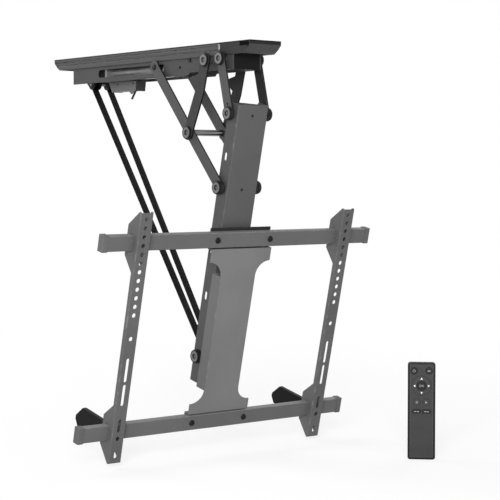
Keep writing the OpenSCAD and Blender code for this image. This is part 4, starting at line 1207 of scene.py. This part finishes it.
def sweep_strap(path, map_name):
    """A bmesh of the strap's section swept along its line, with a map in millimetres."""
    line, section = path.line(), path.section()
    work = bmesh.new()
    uv = work.loops.layers.uv.new(map_name)
    rings = []
    run = 0.0
    for i, (u, v) in enumerate(line):
        before = line[max(i - 1, 0)]
        after = line[min(i + 1, len(line) - 1)]
        tangent = Vector((after[0] - before[0], after[1] - before[1])).normalized()
        normal = Vector((-tangent.y, tangent.x))
        if i:
            run += (Vector(line[i]) - Vector(line[i - 1])).length
        ring = [work.verts.new(path.place(u + normal.x * t, v + normal.y * t, w)) for w, t in section]
        rings.append((ring, run))
    count = len(section)
    for (low, low_run), (high, high_run) in zip(rings, rings[1:]):
        for j in range(count):
            k = (j + 1) % count
            quad = work.faces.new((low[j], low[k], high[k], high[j]))
            marks = ((j, low_run), (k, low_run), (k, high_run), (j, high_run))
            for loop, (index, length) in zip(quad.loops, marks):
                loop[uv].uv = (section[index][0] / MM, length / MM)
    for ring, length in (rings[0], rings[-1]):
        for loop, (w, t) in zip(work.faces.new(ring).loops, section):
            loop[uv].uv = (w / MM, length / MM + t / MM)
    bmesh.ops.recalc_face_normals(work, faces=work.faces)
    return work


def strap_piece(side, name, node):
    """One webbing strap with its stitches."""
    path = StrapPath(side, bpy.context.scene.mount_straps)
    made = piece_from(sweep_strap(path, "Map"), name, surface("webbing"))
    smooth(made, STRAP_SHARP_OVER)
    made.data.uv_layers["Map"].active_render = True
    settle(made, "ceiling_unit", "webbing", (node,))
    path.squash(made)
    stitch_strap(path, name + "_stitches")


def stitch_strap(path, name):
    """A box of stitches with a cross over the sewn tail."""
    length = path.settings.stitch
    u0, u1 = path.seam_start, path.easing + path.settings.tail - path.seam_end
    w = path.width / 2 - path.seam_margin
    corners = [(u0, -w), (u1, -w), (u1, w), (u0, w), (u0, -w), (u1, w), (u0, w), (u1, -w)]
    stands = []
    for out, level in ((1, 1.48 * path.thick - path.ride), (-1, -0.5 * path.thick - path.ride)):
        for (a, b), (c, d) in zip(corners, corners[1:]):
            run = Vector((c - a, d - b))
            along = (path.along * run.x + path.across * run.y).normalized()
            count = max(1, int(run.length / (length * 1.35)))
            for i in range(count):
                share = (i + 0.5) / count
                spot = path.place(a + run.x * share, level, b + run.y * share)
                stands.append((spot, path.square * out, along))
    sizes = (length / MM, 0.7, 0.28)
    path.squash(spread_piece(name, stands, rib_tree(), sizes, "thread", "ceiling_unit", "webbing"))


class MOUNT_OT_straps(bpy.types.Operator):
    """Two webbing straps from the winch down to the pin in the column, with sewn loops"""

    bl_idname = "mount.straps"
    bl_label = "Straps"

    def execute(self, context):
        strap_piece(-1, "webbing_left", "strap_left")
        strap_piece(1, "webbing_right", "strap_right")
        return {"FINISHED"}


def marks_piece(name, body, shapes, kind="faint_mark"):
    """Flat printed marks on a key: outlines in x and z of the remote control, in millimetres."""
    level, thick = -1.0 * MM, 0.08 * MM
    work = bmesh.new()
    for outline in shapes:
        back = [work.verts.new(on_remote(x * MM, level, z * MM)) for x, z in outline]
        front = [work.verts.new(on_remote(x * MM, level - thick, z * MM)) for x, z in outline]
        work.faces.new(front)
        work.faces.new(back[::-1])
        for i in range(len(outline)):
            k = (i + 1) % len(outline)
            work.faces.new((front[i], back[i], back[k], front[k]))
    bmesh.ops.recalc_face_normals(work, faces=work.faces)
    return settle(piece_from(work, name, surface(kind)), body, "rubber_key")


def arc(cx, cz, r, thick, start, end, steps=20):
    """Outline of part of a ring."""
    turns = [radians(start + (end - start) * i / steps) for i in range(steps + 1)]
    outer = [(cx + r * cos(a), cz + r * sin(a)) for a in turns]
    inner = [(cx + (r - thick) * cos(a), cz + (r - thick) * sin(a)) for a in turns]
    return outer + inner[::-1]


def stroke(x0, z0, x1, z1, thick):
    """Outline of a straight stroke."""
    way = Vector((x1 - x0, z1 - z0)).normalized() * thick / 2
    side_x, side_z = way.y, -way.x
    return [
        (x0 + side_x, z0 + side_z), (x1 + side_x, z1 + side_z),
        (x1 - side_x, z1 - side_z), (x0 - side_x, z0 - side_z),
    ]


def arrow(dx, dz, z):
    """Outline of one arrow of the ring key, pointing away from its middle."""
    reach, half = 13.8, 2.3
    tip, foot = reach + half * 0.9, reach - half * 0.8
    return [
        (dx * tip, z + dz * tip),
        (dx * foot - dz * half, z + dz * foot + dx * half),
        (dx * foot + dz * half, z + dz * foot - dx * half),
    ]


def print_marks():
    """The plain signs on the keys; widths and heights are shares of the remote control's size."""
    w, h = 2 * REMOTE_HALF / MM, REMOTE_H / MM
    x, z = 0.27 * w, 0.913 * h
    power = [arc(-x, z, 2.9, 0.7, 125, 415), stroke(-x, z + 0.6, -x, z + 3.4, 0.7)]
    marks_piece("mark_power", "key_power_body", power)
    speaker = [
        (x - 2.8, z - 0.9), (x - 1.4, z - 0.9), (x + 0.4, z - 2.5),
        (x + 0.4, z + 2.5), (x - 1.4, z + 0.9), (x - 2.8, z + 0.9),
    ]
    cross = [stroke(x + 1.2, z - d, x + 3.2, z + d, 0.6) for d in (1.2, -1.2)]
    marks_piece("mark_mute", "key_mute_body", [speaker] + cross)
    z = 0.76 * h
    arrows = [arrow(dx, dz, z) for dx, dz in ((0, 1), (1, 0), (0, -1), (-1, 0))]
    marks_piece("mark_arrows", "key_ring_body", arrows, "mark")
    middle = [arc(-2.6, z, 2.1, 0.7, 0, 360, 28), stroke(0.9, z - 2.1, 0.9, z + 2.1, 0.7)]
    middle += [stroke(1.2, z, 3.7, z + d, 0.7) for d in (2.1, -2.1)]
    marks_piece("mark_middle", "key_ok_body", middle)
    x, z = 0.17 * w, 0.59 * h
    bars = [stroke(d - x, z - 2.0, d - x, z + 2.0, 1.0) for d in (-1.1, 1.1)]
    marks_piece("mark_left", "key_left_body", bars)
    marks_piece("mark_right", "key_right_body", [[(x - 1.5, z - 2.3), (x + 2.4, z), (x - 1.5, z + 2.3)]])
    x, z = 0.18 * w, 0.495 * h
    for side, label in ((-x, "left"), (x, "right")):
        dashes = [stroke(side - 4.6, z, side - 0.5, z, 1.5), stroke(side + 0.7, z, side + 4.6, z, 1.5)]
        marks_piece("mark_pill_" + label, "pill_" + label + "_body", dashes)


class MOUNT_OT_remote(bpy.types.Operator):
    """Remote control: rounded shells, domed keys, plain marks, battery door and cells"""

    bl_idname = "mount.remote"
    bl_label = "Remote control"

    def execute(self, context):
        seam = (SEAM_EDGE, 1, None)
        form("remote_front", [(FACE_EDGE, 4, remote_rim(0.0)), seam], border_front)
        form("remote_back", [(context.scene.mount_edges.remote, 6, remote_rim(REMOTE_D)), seam])
        forms("battery_door", DOOR_EDGE, 2)
        forms("batteries", END_EDGE, 3)
        forms("key_power key_mute key_left key_right key_ok pill_left pill_right key_ring", KEY_EDGE, 4)
        print_marks()
        out, across = REMOTE_TURN @ Vector(Y_AXIS), REMOTE_TURN @ Vector(X_AXIS)
        stands = [(on_remote(0, REMOTE_D, z), out, across) for z in DOOR_RIBS]
        spread_piece("door_grip", stands, rib_tree(), (20, 1.4, 0.4), "remote_case", "remote_door")
        return {"FINISHED"}


def light(name, power, size, spot):
    """A round lamp that looks at the middle of the object."""
    data = bpy.data.lights.new(name, "AREA")
    data.shape = "DISK"
    data.energy = power
    data.size = size
    made = new_object(name, data)
    made.location = spot
    made.rotation_euler = (Vector((0, -0.1, -0.4)) - Vector(spot)).to_track_quat("-Z", "Y").to_euler()


def seen_directly(tree):
    """One where the camera or a mirror or glass looks straight at it."""
    path = add(tree, "ShaderNodeLightPath").outputs
    seen = maths(tree, "MAXIMUM", path["Is Camera Ray"], path["Is Glossy Ray"])
    return maths(tree, "MAXIMUM", seen, path["Is Transmission Ray"])


# Distances in metres between which the floor fades, and the share of white where it starts.
FADE_START = 0.8
FADE_END = 2.4
FADE_LEAST = 0.72


def lay_floor(half, level):
    """A pale floor that fades into the white surround away from the object."""
    work = bmesh.new()
    bmesh.ops.create_grid(work, x_segments=2, y_segments=2, size=half)
    for vert in work.verts:
        vert.co.z = level
    paint = bpy.data.materials.new("pale_floor")
    tree = empty_tree(paint)
    matt = result(tree, "ShaderNodeBsdfDiffuse", {"Color": (0.86, 0.86, 0.86, 1), "Roughness": 0.4})
    glow = result(tree, "ShaderNodeEmission", {"Color": (1, 1, 1, 1), "Strength": 1.0})
    place = (object_place(tree), (0.0, 0.0, level))
    far = add(tree, "ShaderNodeVectorMath", place, operation="DISTANCE").outputs["Value"]
    share = times(tree, seen_directly(tree), between(tree, far, FADE_START, FADE_END, FADE_LEAST, 1.0))
    mixed = result(tree, "ShaderNodeMixShader", (share, matt, glow))
    add(tree, "ShaderNodeOutputMaterial", (mixed,))
    piece_from(work, "studio_floor", paint)


def white_surround(sky):
    """A world that looks white and lights the object with its own strength."""
    world = bpy.data.worlds.new("pale_surround")
    tree = empty_tree(world)
    soft = result(tree, "ShaderNodeBackground", {"Color": (1, 1, 1, 1), "Strength": sky})
    white = result(tree, "ShaderNodeBackground", {"Color": (1, 1, 1, 1), "Strength": 1.0})
    mixed = result(tree, "ShaderNodeMixShader", (seen_directly(tree), soft, white))
    add(tree, "ShaderNodeOutputWorld", (mixed,))
    return world


class MOUNT_OT_stage(bpy.types.Operator):
    """Pale floor, soft lights, white surround and the photograph's camera"""

    bl_idname = "mount.stage"
    bl_label = "Stage"

    def execute(self, context):
        scene = context.scene
        stage = scene.mount_stage
        lay_floor(stage.floor, cad_box[0][2])
        scene.world = white_surround(stage.sky)
        light("key_light", stage.key_light, 1.8, (-2.5, -2.9, 0.35))
        light("fill_light", stage.fill_light, 2.4, (3.0, 0.6, 0.5))
        light("top_light", stage.top_light, 2.0, (-0.8, 2.4, 1.4))
        camera = new_object("photo_camera", bpy.data.cameras.new("photo_camera"))
        camera.data.sensor_width = 36
        camera.data.lens = stage.lens
        camera.data.clip_end = 60
        camera.location = stage.eye
        camera.rotation_euler = (pi / 2 - stage.elevation, 0, stage.azimuth)
        scene.camera = camera
        scene.view_settings.view_transform = "Standard"
        return {"FINISHED"}


class MOUNT_PT_panel(bpy.types.Panel):
    """Lists the pieces of the ceiling mount in the order in which they are made"""

    bl_label = "Ceiling mount"
    bl_idname = "MOUNT_PT_panel"
    bl_space_type = "VIEW_3D"
    bl_region_type = "UI"
    bl_category = "Ceiling mount"

    def draw(self, context):
        for step in STEPS:
            self.layout.operator(step.bl_idname)


SETTINGS = {
    "mount_finish": MountFinishSettings,
    "mount_straps": MountStrapSettings,
    "mount_edges": MountEdgeSettings,
    "mount_stage": MountStageSettings,
}
STEPS = (
    MOUNT_OT_stage, MOUNT_OT_sheet_metal, MOUNT_OT_hardware, MOUNT_OT_cases, MOUNT_OT_drive,
    MOUNT_OT_straps, MOUNT_OT_remote,
)
CLASSES = tuple(SETTINGS.values()) + STEPS + (MOUNT_PT_panel,)


def register():
    for kind in CLASSES:
        bpy.utils.register_class(kind)
    for name, kind in SETTINGS.items():
        setattr(bpy.types.Scene, name, PointerProperty(type=kind))


def unregister():
    for name in SETTINGS:
        delattr(bpy.types.Scene, name)
    for kind in reversed(CLASSES):
        bpy.utils.unregister_class(kind)


def main():
    register()
    for step in STEPS:
        area, call = step.bl_idname.split(".")
        getattr(getattr(bpy.ops, area), call)()


if __name__ == "__main__":
    main()
